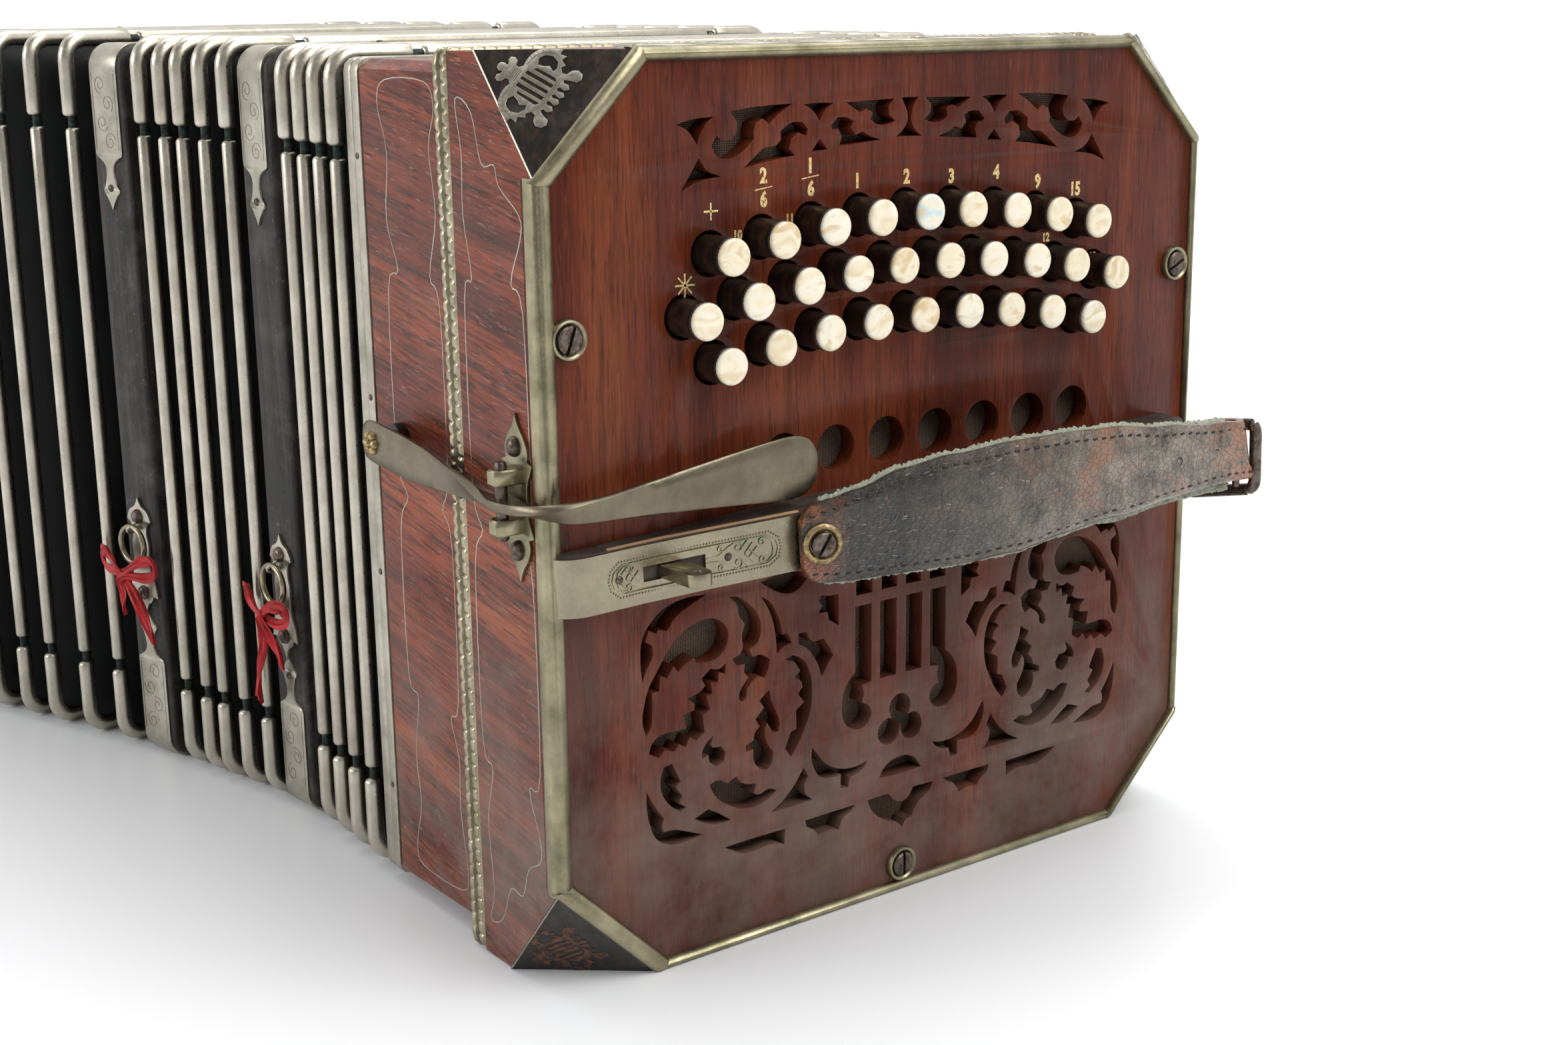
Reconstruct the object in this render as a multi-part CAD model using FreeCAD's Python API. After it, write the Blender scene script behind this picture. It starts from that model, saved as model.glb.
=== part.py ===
import FreeCAD, Part
import math
import os
from FreeCAD import Placement, Rotation, Vector

# Large square concertina with fretted wooden ends.
# X runs along the bellows, +X out of the treble end, +Y away from the air lever, +Z up.
# The origin is under the middle of the treble case's seam moulding, which it rests on.
# All sizes are in millimetres.

# ---------------------------------------------------------------- driving dimensions
HEIGHT = 240.0            # treble and bass case, over the metal edging
WIDTH = 231.0
TRIM = 0.5                # how far the edging stands proud of the wood
LID_DEPTH = 39.0          # outer part, with the action inside
BAND_WIDTH = 7.0          # beaded moulding over the seam
REED_CASE_DEPTH = 46.0    # inner part, with the reeds inside
SEAM_X = -BAND_WIDTH / 2
FACE_X = BAND_WIDTH / 2 + LID_DEPTH
INNER_X = SEAM_X - REED_CASE_DEPTH
CASE_STEP = 3.5           # the reed case is smaller than the lid all round
CASE_WALL_Y = WIDTH / 2 - CASE_STEP
WALL = 9.0
FACE_BOARD = 5.4
CORNER = 29.4             # corner cut, along both edges of the face
CORNER_BACK = 25.3        # and back along the case
PLATE = 0.8               # sheet metal and corner plates
END_STRIP_GAP = 0.3
END_FRAME = 8.5           # wooden frame at each end of the bellows
END_FRAME_STRIP = 0.9     # metal strip round its edge
STRIP_GAP = 0.02          # between the ends of nailed strips

FRAME_THICK = 18.0        # wooden frames between the bellows sections
FRAME_HALF_WIDTH = 112.0
FRAME_BOTTOM = 0.8
FRAME_TOP = 238.2
FRAME_BORDER = 22.0
STRAP_WIDTH = 14.0        # metal corner straps of the frames
CORNER_STRAP_REACH = 44.0
FRAME_ROUND = 7.0
RING_PLATE_Z = 71.0
EYE_Z = 82.0              # eye that the carry ring hangs in
EYE_OUT = 4.2
EYE_HALF = 1.2
RING_R = 6.2
RING_WIRE = 1.0

# Where the front (-Y) edge of each frame stands, and how far it is turned about Z.
FRAME_A = (-123.0, -110.0, 5.0)
FRAME_B = (-199.5, -125.5, 14.0)
BASS_RIM = (-293.5, -158.0, 24.0)

RIDGES = (4, 5, 5)        # folds of the treble, middle and bass bellows sections
FOLD_DEPTH = 18.0
BELLOWS_GAP = 0.3
BELLOWS_BOTTOM = 2.0
BELLOWS_TOP = 238.0
BELLOWS_HALF_WIDTH = 110.5

BUTTON_R = 4.9
BUTTON_HOLE_R = 5.8
BUTTON_STEM = 20.0        # length inside the case
BUTTON_PITCH = 16.2
BUTTON_ARC_R = 309.0      # the rows follow this arc
# name, buttons, centre of the row, height of its middle button, how far it stands out
TREBLE_ROWS = (("a", 9, 0.7, 196.2, 10.4), ("b", 10, 0.4, 182.8, 10.4), ("c", 9, 0.9, 168.6, 8.8))
BASS_ROWS = (("1", 8, 0.5, 196.2, 10.4), ("2", 8, 0.5, 182.4, 10.4), ("3", 8, 0.5, 168.6, 8.8))
CAP_THICK = 1.4

SCREWS = ((-107.0, 172.0), (108.0, 173.0), (0.5, 7.7))
WASHER_R = 5.0
TOP_DISCS = 6
TOP_DISC_R = 12.0
TOP_DISC_PITCH = 26.2
TOP_DISC_Y = -64.5        # the first one

SOUND_HOLES = 7
SOUND_HOLE_R = 6.3
SOUND_HOLE_PITCH = 17.9
SOUND_HOLE_Z = 134.0
SOUND_HOLE_Y = -41.2      # the first one

RAIL_TILT = 2.2           # hand rail and strap rise away from the air lever, degrees
RAIL_Z = 111.2            # middle of the rail at its low end
RAIL_HALF_HEIGHT = 8.75
RAIL_START = -115.0
RAIL_END = 104.0
RAIL_LOW = 2.2            # thickness of the rail at its low end
RAIL_HIGH = 13.6
RAIL_HIGH_Y = -18.0
RAIL_PLATE_END = -45.0
SLOT_Y = (-91.0, -73.0)   # slot of the strap adjuster
SLOT_HALF_HEIGHT = 2.0
ADJUSTER_Y = -83.0
ADJUSTER_HALF = 3.5       # half its width along the slot
ADJUSTER_THICK = 3.4
ADJUSTER_REACH = 15.0     # how far it stands out of the rail plate

STRAP_THICK = 3.0
STRAP_LEFT = -50.0
STRAP_RIGHT = 100.0
LOOP_Y = 92.0

LEVER_PIN = (31.0, -120.3)
LEVER_Z = 132.0
LEVER_PIN_R = 1.6
LEVER_CLEARANCE = 0.05
AIR_HOLE_X = INNER_X + 14.0
AIR_HOLE_Z = LEVER_Z + 3.0
AIR_HOLE_R = 4.0

ACTION_BOARD_X = 13.8     # front of the board that the pads close
ACTION_BOARD_THICK = 5.0
PAD_R = 6.0
PAD_THICK = 3.0
LEVER_THICK = 1.2
# For each row of buttons: height of its pads, and how far they stand aside from the buttons.
PAD_ROWS = ((36.0, -5.2), (62.0, 0.0), (88.0, 5.2))
REED_PLATE = 1.5


# ---------------------------------------------------------------- helpers
def box(x0, x1, y0, y1, z0, z1):
    return Part.makeBox(x1 - x0, y1 - y0, z1 - z0, Vector(x0, y0, z0))


def cylinder(x, y, z, axis, radius, length):
    return Part.makeCylinder(radius, length, Vector(x, y, z), Vector(*axis))


def polygon(points):
    corners = [Vector(*p) for p in points]
    return Part.Face(Part.makePolygon(corners + corners[:1]))


def octagon(half_width, z0, z1, corner):
    """Outline of the case in the YZ plane, as (y, z) points."""
    return [
        (-half_width + corner, z0), (half_width - corner, z0), (half_width, z0 + corner),
        (half_width, z1 - corner), (half_width - corner, z1), (-half_width + corner, z1),
        (-half_width, z1 - corner), (-half_width, z0 + corner),
    ]


def octagon_prism(x0, x1, half_width, z0, z1, corner):
    face = polygon([(x0, y, z) for y, z in octagon(half_width, z0, z1, corner)])
    return face.extrude(Vector(x1 - x0, 0, 0))


def corner_triangle(side, top, sink=0.0):
    """The triangle that cuts a corner off the face, and its outward normal."""
    y = side * WIDTH / 2
    z = HEIGHT if top else 0.0
    down = -1 if top else 1
    points = [
        Vector(FACE_X, y - side * CORNER, z),
        Vector(FACE_X, y, z + down * CORNER),
        Vector(FACE_X - CORNER_BACK, y, z),
    ]
    normal = (points[1] - points[0]).cross(points[2] - points[0])
    normal.normalize()
    if normal.x < 0:
        normal = -normal
    return [p - normal * sink for p in points], normal


def scaled_triangle(points, factor):
    centre = (points[0] + points[1] + points[2]) * (1 / 3)
    grown = [centre + (p - centre) * factor for p in points]
    return Part.Face(Part.makePolygon(grown + grown[:1]))


def corner_cutters(sink):
    cutters = []
    for side in (-1, 1):
        for top in (False, True):
            points, normal = corner_triangle(side, top, sink)
            cutters.append(scaled_triangle(points, 1.9).extrude(normal * 30))
    return cutters


def cut(shape, cutters):
    return shape.cut(Part.makeCompound(list(cutters)))


def group(solids):
    """One shape that holds separate solids."""
    flat = []
    for solid in solids:
        flat.extend(solid.Solids)
    return flat[0] if len(flat) == 1 else Part.makeCompound(flat)


def row_places(count, middle_y, middle_z):
    """Centres of a row of buttons, evenly spaced on an arc that sags at its ends."""
    places = []
    for i in range(count):
        along = (i - (count - 1) / 2) * BUTTON_PITCH
        drop = BUTTON_ARC_R - math.sqrt(BUTTON_ARC_R ** 2 - along ** 2)
        places.append((middle_y + along, middle_z - drop))
    return places


def frame_placement(front_edge, front_local):
    """Placement that turns about Z and brings a local front point to its place."""
    x, y, turn = front_edge
    rotation = Rotation(Vector(0, 0, 1), turn)
    return Placement(Vector(x, y, 0) - rotation.multVec(Vector(*front_local)), rotation)


def placed(shape, placement):
    moved = shape.copy()
    moved.Placement = placement.multiply(moved.Placement)
    return moved


# ---------------------------------------------------------------- wooden case
def face_board(rows):
    wood = WIDTH / 2 - TRIM
    board = box(FACE_X - TRIM - FACE_BOARD, FACE_X - TRIM, -wood, wood, TRIM, HEIGHT - TRIM)
    holes = []
    for _, count, middle_y, middle_z, _ in rows:
        for y, z in row_places(count, middle_y, middle_z):
            holes.append(cylinder(FACE_X - 10, y, z, (1, 0, 0), BUTTON_HOLE_R, 20))
    for i in range(SOUND_HOLES):
        y = SOUND_HOLE_Y + i * SOUND_HOLE_PITCH
        holes.append(cylinder(FACE_X - 10, y, SOUND_HOLE_Z, (1, 0, 0), SOUND_HOLE_R, 20))
    return cut(board, holes + corner_cutters(PLATE))


def lid_walls():
    wood = WIDTH / 2 - TRIM
    back = SEAM_X + BAND_WIDTH
    front = FACE_X - TRIM - FACE_BOARD
    walls = box(back, front, -wood, wood, TRIM, HEIGHT - TRIM)
    cavity = octagon_prism(back - 1, front + 1, wood - WALL, TRIM + WALL, HEIGHT - TRIM - WALL, CORNER)
    return cut(walls, [cavity] + corner_cutters(PLATE))


def reed_case(air_hole):
    """Walls of the inner part. The treble one has the air valve's hole in its front wall."""
    half = CASE_WALL_Y
    low = CASE_STEP
    high = HEIGHT - CASE_STEP
    walls = box(INNER_X, SEAM_X + BAND_WIDTH, -half, half, low, high)
    cavity = box(INNER_X - 1, SEAM_X + BAND_WIDTH + 1, -half + WALL, half - WALL, low + WALL, high - WALL)
    walls = walls.cut(cavity)
    if air_hole:
        walls = walls.cut(cylinder(AIR_HOLE_X, -half - 1, AIR_HOLE_Z, (0, 1, 0), AIR_HOLE_R, WALL + 2))
    return walls


def four_strips(x0, x1, half, low, high, thick):
    """Strips nailed round the case: two upright ones, and two laid between them."""
    between = half - thick - STRIP_GAP
    return [
        box(x0, x1, -half, -half + thick, low, high),
        box(x0, x1, half - thick, half, low, high),
        box(x0, x1, -between, between, low, low + thick),
        box(x0, x1, -between, between, high - thick, high),
    ]


def nickel_bands():
    """The moulding over the seam, and the strip round the bellows' end frame."""
    moulding = four_strips(SEAM_X, SEAM_X + BAND_WIDTH, WIDTH / 2, 0, HEIGHT, CASE_STEP)
    x = INNER_X - END_STRIP_GAP
    low = CASE_STEP
    return moulding + four_strips(x - END_FRAME, x, FRAME_HALF_WIDTH, low, HEIGHT - low, END_FRAME_STRIP)


def end_frame_ring(outer_inset, inner_inset):
    """A ring round the bellows' end frame, between two insets from the case's outline."""
    x = INNER_X - END_STRIP_GAP
    half = FRAME_HALF_WIDTH - outer_inset
    low = CASE_STEP + outer_inset
    ring = box(x - END_FRAME, x, -half, half, low, HEIGHT - low)
    half = FRAME_HALF_WIDTH - inner_inset
    low = CASE_STEP + inner_inset
    return ring.cut(box(x - END_FRAME - 1, x + 1, -half, half, low, HEIGHT - low))


def end_frame():
    """Wooden frame that the bellows are glued to, at the inner side of the reed case."""
    return end_frame_ring(END_FRAME_STRIP + 0.02, FRAME_BORDER)


def top_discs():
    discs = []
    for i in range(TOP_DISCS):
        y = TOP_DISC_Y + i * TOP_DISC_PITCH
        disc = cylinder(FACE_X - 20, y, HEIGHT - TRIM, (0, 0, 1), TOP_DISC_R, 1.4)
        discs.append(disc.makeChamfer(0.5, [disc.Edges[0]]))
    return discs


def edge_trim():
    """Metal edging: a flat ring round the face and an apron along each of its four straight sides."""
    ring = octagon_prism(FACE_X - TRIM, FACE_X + 0.3, WIDTH / 2, 0, HEIGHT, CORNER)
    window = octagon_prism(FACE_X - 5, FACE_X + 5, WIDTH / 2 - 5.1, 2.6, HEIGHT - 3.2, CORNER - 2.0)
    ring = ring.cut(window)
    apron = box(FACE_X - 3.5, FACE_X - TRIM, -WIDTH / 2, WIDTH / 2, 0, HEIGHT)
    wood = WIDTH / 2 - TRIM
    apron = apron.cut(box(FACE_X - 5, FACE_X, -wood, wood, TRIM, HEIGHT - TRIM))
    apron = cut(apron, corner_cutters(0.1))
    return [ring] + apron.Solids


def corner_plates():
    plates = []
    for side in (-1, 1):
        for top in (False, True):
            points, normal = corner_triangle(side, top, PLATE)
            plates.append(scaled_triangle(points, 0.9).extrude(normal * (PLATE - 0.05)))
    return plates


def face_screws():
    """Slotted screws in cup washers that hold the face board."""
    solids = []
    for y, z in SCREWS:
        washer = cylinder(FACE_X - TRIM, y, z, (1, 0, 0), WASHER_R, 1.6)
        washer = washer.cut(Part.makeCone(3.0, 4.3, 1.6, Vector(FACE_X - TRIM, y, z), Vector(1, 0, 0)))
        head = Part.makeCone(2.9, 4.2, 1.5, Vector(FACE_X - TRIM, y, z), Vector(1, 0, 0))
        slot = box(FACE_X + 0.3, FACE_X + 2, y - 5, y + 5, z - 0.4, z + 0.4)
        solids += [washer, head.cut(slot)]
    return solids


def screw_cutters():
    return [cylinder(FACE_X - TRIM, y, z, (1, 0, 0), WASHER_R + 0.02, 3) for y, z in SCREWS]


def cloth_lining():
    back = FACE_X - TRIM - FACE_BOARD
    lower = octagon_prism(back - 1.0, back - 0.2, 98, 12, 144, 21)
    upper = box(back - 1.0, back - 0.2, -78, 79, 203.5, 226.6)
    return [lower, upper]


# ---------------------------------------------------------------- action and reeds
def action(rows):
    """Board with pad holes, a fulcrum rail, and a lever and a pad for each button."""
    board_back = ACTION_BOARD_X - ACTION_BOARD_THICK
    board = octagon_prism(board_back, ACTION_BOARD_X, 104.5, 12, 228, 30)
    fulcrum = box(ACTION_BOARD_X + 0.05, ACTION_BOARD_X + PAD_THICK, -84, 84, 128, 134)
    pads = []
    levers = []
    holes = []
    for (_, count, middle_y, middle_z, _), (pad_z, aside) in zip(rows, PAD_ROWS):
        for y, z in row_places(count, middle_y, middle_z):
            pad_y = y + aside
            holes.append(cylinder(ACTION_BOARD_X - 6, pad_y, pad_z, (1, 0, 0), PAD_R - 2, 7))
            pads.append(cylinder(ACTION_BOARD_X + 0.05, pad_y, pad_z, (1, 0, 0), PAD_R, PAD_THICK))
            lever_end = (pad_y, pad_z)
            levers.append(lever_bar((y + aside / 2, z), lever_end, ACTION_BOARD_X + PAD_THICK + 0.1))
    return [cut(board, holes), fulcrum] + pads + levers


def lever_bar(start, end, x):
    """A thin bar between two (y, z) points."""
    dy = end[0] - start[0]
    dz = end[1] - start[1]
    bar = box(0, LEVER_THICK, 0, math.hypot(dy, dz), -1.0, 1.0)
    bar.rotate(Vector(0, 0, 0), Vector(1, 0, 0), math.degrees(math.atan2(dz, dy)))
    bar.translate(Vector(x, start[0], start[1]))
    return bar


def reed_pan():
    """Reed blocks on their board, each with zinc reed plates on both sides."""
    board_x = SEAM_X - 1.0
    solids = [box(board_x, board_x + 5, -102, 102, 14, 226)]
    for i in range(6):
        y = -85 + i * 34.0
        solids.append(box(board_x - 34, board_x - 0.05, y - 5, y + 5, 22, 218))
        for side in (-1, 1):
            inner = y + side * 5.05
            outer = inner + side * REED_PLATE
            low = min(inner, outer)
            solids.append(box(board_x - 32, board_x - 2, low, low + REED_PLATE, 24, 216))
    return solids


# ---------------------------------------------------------------- hand rail and strap
def tilted(shape):
    shape = shape.copy()
    shape.rotate(Vector(0, -112, RAIL_Z), Vector(1, 0, 0), RAIL_TILT)
    return shape


def rail_outline(x0, low, high, y_start, y_end):
    return [
        (x0, y_start, 0), (FACE_X + low, y_start, 0),
        (FACE_X + high, RAIL_HIGH_Y, 0), (FACE_X + high, y_end, 0), (x0, y_end, 0),
    ]


def rail_extruded(points, half_height):
    face = polygon(points)
    solid = face.extrude(Vector(0, 0, 2 * half_height))
    solid.translate(Vector(0, 0, RAIL_Z - half_height))
    return solid


def slot_block(grow):
    return box(
        FACE_X + 1.0, FACE_X + 20, SLOT_Y[0] - grow, SLOT_Y[1] + grow,
        RAIL_Z - SLOT_HALF_HEIGHT - grow, RAIL_Z + SLOT_HALF_HEIGHT + grow,
    )


def hand_rail():
    rail = rail_extruded(rail_outline(FACE_X + 0.3, RAIL_LOW, RAIL_HIGH, RAIL_START, RAIL_END), RAIL_HALF_HEIGHT)
    return tilted(rail.cut(slot_block(0.4)))


def rail_slope():
    return (RAIL_HIGH - RAIL_LOW) / (RAIL_HIGH_Y - RAIL_START)


def rail_surface(y):
    """Outer face of the rail's wood, along X."""
    return FACE_X + min(RAIL_HIGH, RAIL_LOW + rail_slope() * (y - RAIL_START))


def rail_plate():
    """Engraved sheet metal over the low end of the rail."""
    y0 = RAIL_START - 0.4
    x0 = rail_surface(RAIL_START) + 0.02
    x1 = rail_surface(RAIL_PLATE_END) + 0.02
    face = polygon([
        (x0, y0, 0), (x0 + PLATE, y0, 0), (x1 + PLATE, RAIL_PLATE_END, 0), (x1, RAIL_PLATE_END, 0),
    ])
    plate = face.extrude(Vector(0, 0, 2 * RAIL_HALF_HEIGHT))
    plate.translate(Vector(0, 0, RAIL_Z - RAIL_HALF_HEIGHT))
    return tilted(plate.cut(slot_block(0)))


def strap_adjuster():
    """Bar that stands out through the rail's slot, with a rounded, drilled end."""
    end = rail_surface(ADJUSTER_Y) + PLATE + ADJUSTER_REACH - ADJUSTER_HALF
    low = RAIL_Z - ADJUSTER_THICK / 2
    half = ADJUSTER_HALF
    bar = box(FACE_X + 2.2, end, ADJUSTER_Y - half, ADJUSTER_Y + half, low, low + ADJUSTER_THICK)
    bar = bar.fuse(cylinder(end, ADJUSTER_Y, low, (0, 0, 1), half, ADJUSTER_THICK))
    return tilted(bar.cut(cylinder(end, ADJUSTER_Y, low - 1, (0, 0, 1), 1.2, ADJUSTER_THICK + 2)))


def strap_path(y):
    """Inner face of the hand strap, along X: on the rail at its left end, on the loop at its right."""
    share = (y - STRAP_LEFT) / (STRAP_RIGHT - STRAP_LEFT)
    chord = rail_surface(STRAP_LEFT) + PLATE + 0.4 + share * 26.5
    return chord + 6.5 * math.sin(math.pi * share)


def hand_strap():
    """Leather hand strap: a curved band that is widest in the middle."""
    steps = [STRAP_LEFT + i * (STRAP_RIGHT - STRAP_LEFT) / 6 for i in range(7)]
    inner = Part.BSplineCurve()
    inner.interpolate([Vector(strap_path(y), y, 0) for y in steps])
    outer = Part.BSplineCurve()
    outer.interpolate([Vector(strap_path(y) + STRAP_THICK, y, 0) for y in steps])
    a0, a1 = inner.StartPoint, inner.EndPoint
    b0, b1 = outer.StartPoint, outer.EndPoint
    wire = Part.Wire([inner.toShape(), Part.makeLine(a1, b1), outer.toShape(), Part.makeLine(b0, a0)])
    band = Part.Face(wire).extrude(Vector(0, 0, 60))
    band.translate(Vector(0, 0, RAIL_Z - 30))
    outline = polygon([
        (0, STRAP_LEFT - 1, RAIL_Z - 9), (0, STRAP_LEFT + 22, RAIL_Z - 13), (0, 5, RAIL_Z - 17.5),
        (0, 45, RAIL_Z - 17.5), (0, STRAP_RIGHT + 1, RAIL_Z - 12), (0, STRAP_RIGHT + 1, RAIL_Z + 12),
        (0, 45, RAIL_Z + 17.5), (0, 5, RAIL_Z + 17.0), (0, STRAP_LEFT + 22, RAIL_Z + 11),
        (0, STRAP_LEFT - 1, RAIL_Z + 9),
    ]).extrude(Vector(200, 0, 0))
    hole = cylinder(FACE_X, STRAP_LEFT + 9, RAIL_Z, (1, 0, 0), 3.4, 60)
    return tilted(band.common(outline).cut(hole))


def strap_fittings():
    """Screw and grommet at the strap's left end, and the steel loop that holds its right end."""
    y = STRAP_LEFT + 9
    top = strap_path(y) + STRAP_THICK
    foot = rail_surface(y) + 0.6
    shank = cylinder(foot, y, RAIL_Z, (1, 0, 0), 1.6, top - foot)
    grommet = cylinder(top + 0.15, y, RAIL_Z, (1, 0, 0), 5.0, 1.0)
    head = cylinder(top + 1.15, y, RAIL_Z, (1, 0, 0), 3.2, 1.2)
    head = head.cut(box(top + 1.8, top + 20, y - 4, y + 4, RAIL_Z - 0.4, RAIL_Z + 0.4))
    neck = cylinder(top - 0.1, y, RAIL_Z, (1, 0, 0), 1.6, 0.3)
    screw = shank.multiFuse([neck, grommet, head])
    slope = (strap_path(y + 1) - strap_path(y - 1)) / 2
    screw.rotate(Vector(top, y, RAIL_Z), Vector(0, 0, 1), -math.degrees(math.atan(slope)))
    foot = rail_surface(LOOP_Y) + 0.05
    reach = strap_path(LOOP_Y) - 0.5
    loop = box(foot, reach, LOOP_Y - 1.5, LOOP_Y + 1.5, RAIL_Z - 14, RAIL_Z + 14)
    loop = loop.cut(box(foot + 3, reach - 3, LOOP_Y - 5, LOOP_Y + 5, RAIL_Z - 11, RAIL_Z + 11))
    return [tilted(screw), tilted(loop)]


# ---------------------------------------------------------------- buttons
def button(y, z, reach):
    stem = cylinder(FACE_X - BUTTON_STEM, y, z, (1, 0, 0), BUTTON_R, BUTTON_STEM + reach - CAP_THICK)
    cap = cylinder(FACE_X + reach - CAP_THICK, y, z, (1, 0, 0), BUTTON_R, CAP_THICK)
    rim = [e for e in cap.Edges if len(e.Vertexes) == 1 and e.CenterOfMass.x > FACE_X + reach - 0.01]
    return Part.makeCompound([stem, cap.makeChamfer(0.35, rim)])


# ---------------------------------------------------------------- air lever
def air_lever():
    pin_x, pin_y = LEVER_PIN
    half = 1.0
    back = AIR_HOLE_X - 6
    arm = polygon([
        (back, pin_y - half, LEVER_Z - 2.0), (back + 35, pin_y - half, LEVER_Z - 1.0),
        (pin_x + 1, pin_y - half, LEVER_Z - 3.0), (pin_x + 1, pin_y - half, LEVER_Z + 3.0),
        (back + 35, pin_y - half, LEVER_Z + 5.5), (back + 8, pin_y - half, LEVER_Z + 9.0),
        (back, pin_y - half, LEVER_Z + 7.0),
    ]).extrude(Vector(0, 2 * half, 0))
    hub = cylinder(pin_x, pin_y, LEVER_Z - 4, (0, 0, 1), 3.4, 8)
    bend_r = 10.5
    centre = Vector(FACE_X - 1.0, pin_y - half + bend_r, LEVER_Z - 3)
    ring = Part.makeCylinder(bend_r, 6, centre)
    ring = ring.cut(Part.makeCylinder(bend_r - 2 * half, 6, centre))
    quarter = ring.common(box(centre.x, centre.x + 20, centre.y - 20, centre.y, 0, HEIGHT))
    straight = box(pin_x, centre.x + 0.01, pin_y - half, pin_y + half, LEVER_Z - 3, LEVER_Z + 3)
    paddle_x = centre.x + bend_r - 2 * half
    tip_y = -37.0
    tip_z = LEVER_Z + 0.8
    tip_r = 8.5
    paddle = polygon([
        (paddle_x, centre.y - 0.01, LEVER_Z - 3), (paddle_x, tip_y - 22, tip_z - 8.0),
        (paddle_x, tip_y - tip_r, tip_z - tip_r), (paddle_x, tip_y - tip_r, tip_z + tip_r),
        (paddle_x, tip_y - 22, tip_z + 8.0), (paddle_x, centre.y - 0.01, LEVER_Z + 3),
    ]).extrude(Vector(2 * half, 0, 0))
    tip = cylinder(paddle_x, tip_y - tip_r, tip_z, (1, 0, 0), tip_r, 2 * half)
    pad_thick = -CASE_WALL_Y - 0.1 - pin_y - half
    pad = cylinder(AIR_HOLE_X, pin_y + half, AIR_HOLE_Z, (0, 1, 0), AIR_HOLE_R + 1.2, pad_thick)
    stud = cylinder(AIR_HOLE_X, pin_y - half - 1.8, AIR_HOLE_Z, (0, 1, 0), 3.4, 1.8)
    lever = arm.multiFuse([hub, straight, quarter, paddle, tip, pad, stud])
    bore = cylinder(pin_x, pin_y, LEVER_Z - 10, (0, 0, 1), LEVER_PIN_R + LEVER_CLEARANCE, 20)
    return lever.cut(bore)


def air_lever_bracket():
    """Spade-ended plate on the case side, two lugs, their pin, and two domed screws."""
    pin_x, pin_y = LEVER_PIN
    wall = -(WIDTH / 2 - TRIM)
    plate = polygon([
        (pin_x, wall, LEVER_Z + 21), (pin_x - 6.5, wall, LEVER_Z + 13), (pin_x - 4, wall, LEVER_Z),
        (pin_x - 6.5, wall, LEVER_Z - 13), (pin_x, wall, LEVER_Z - 19), (pin_x + 6.5, wall, LEVER_Z - 13),
        (pin_x + 4, wall, LEVER_Z), (pin_x + 6.5, wall, LEVER_Z + 13),
    ]).extrude(Vector(0, -0.9, 0))
    solids = []
    lugs = []
    for bottom in (LEVER_Z - 8.2, LEVER_Z + 4.3):
        lug = box(pin_x - 2.6, pin_x + 2.6, pin_y, wall, bottom, bottom + 3.9)
        knuckle = cylinder(pin_x, pin_y, bottom, (0, 0, 1), 2.6, 3.9)
        lugs.append(lug.fuse(knuckle))
    bore = cylinder(pin_x, pin_y, LEVER_Z - 12, (0, 0, 1), LEVER_PIN_R, 24)
    solids.append(plate.multiFuse(lugs).cut(bore))
    solids.append(cylinder(pin_x, pin_y, LEVER_Z - 10, (0, 0, 1), LEVER_PIN_R, 20))
    for z in (LEVER_Z + 14, LEVER_Z - 11.5):
        dome = Part.makeSphere(4.0, Vector(pin_x - 0.2, wall + 1.6, z))
        solids.append(dome.common(box(pin_x - 6, pin_x + 6, wall - 6, wall - 0.95, z - 6, z + 6)))
    return solids


# ---------------------------------------------------------------- bellows frames
def bellows_frame():
    """Wooden ring between two bellows sections, in its own frame."""
    half = FRAME_THICK / 2
    outer = box(-half, half, -FRAME_HALF_WIDTH, FRAME_HALF_WIDTH, FRAME_BOTTOM, FRAME_TOP)
    edges = [e for e in outer.Edges if abs(e.tangentAt(e.FirstParameter).x) > 0.99]
    outer = outer.makeFillet(FRAME_ROUND, edges)
    inner = box(
        -half - 1, half + 1, -FRAME_HALF_WIDTH + FRAME_BORDER, FRAME_HALF_WIDTH - FRAME_BORDER,
        FRAME_BOTTOM + FRAME_BORDER, FRAME_TOP - FRAME_BORDER,
    )
    return outer.cut(inner)


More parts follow.
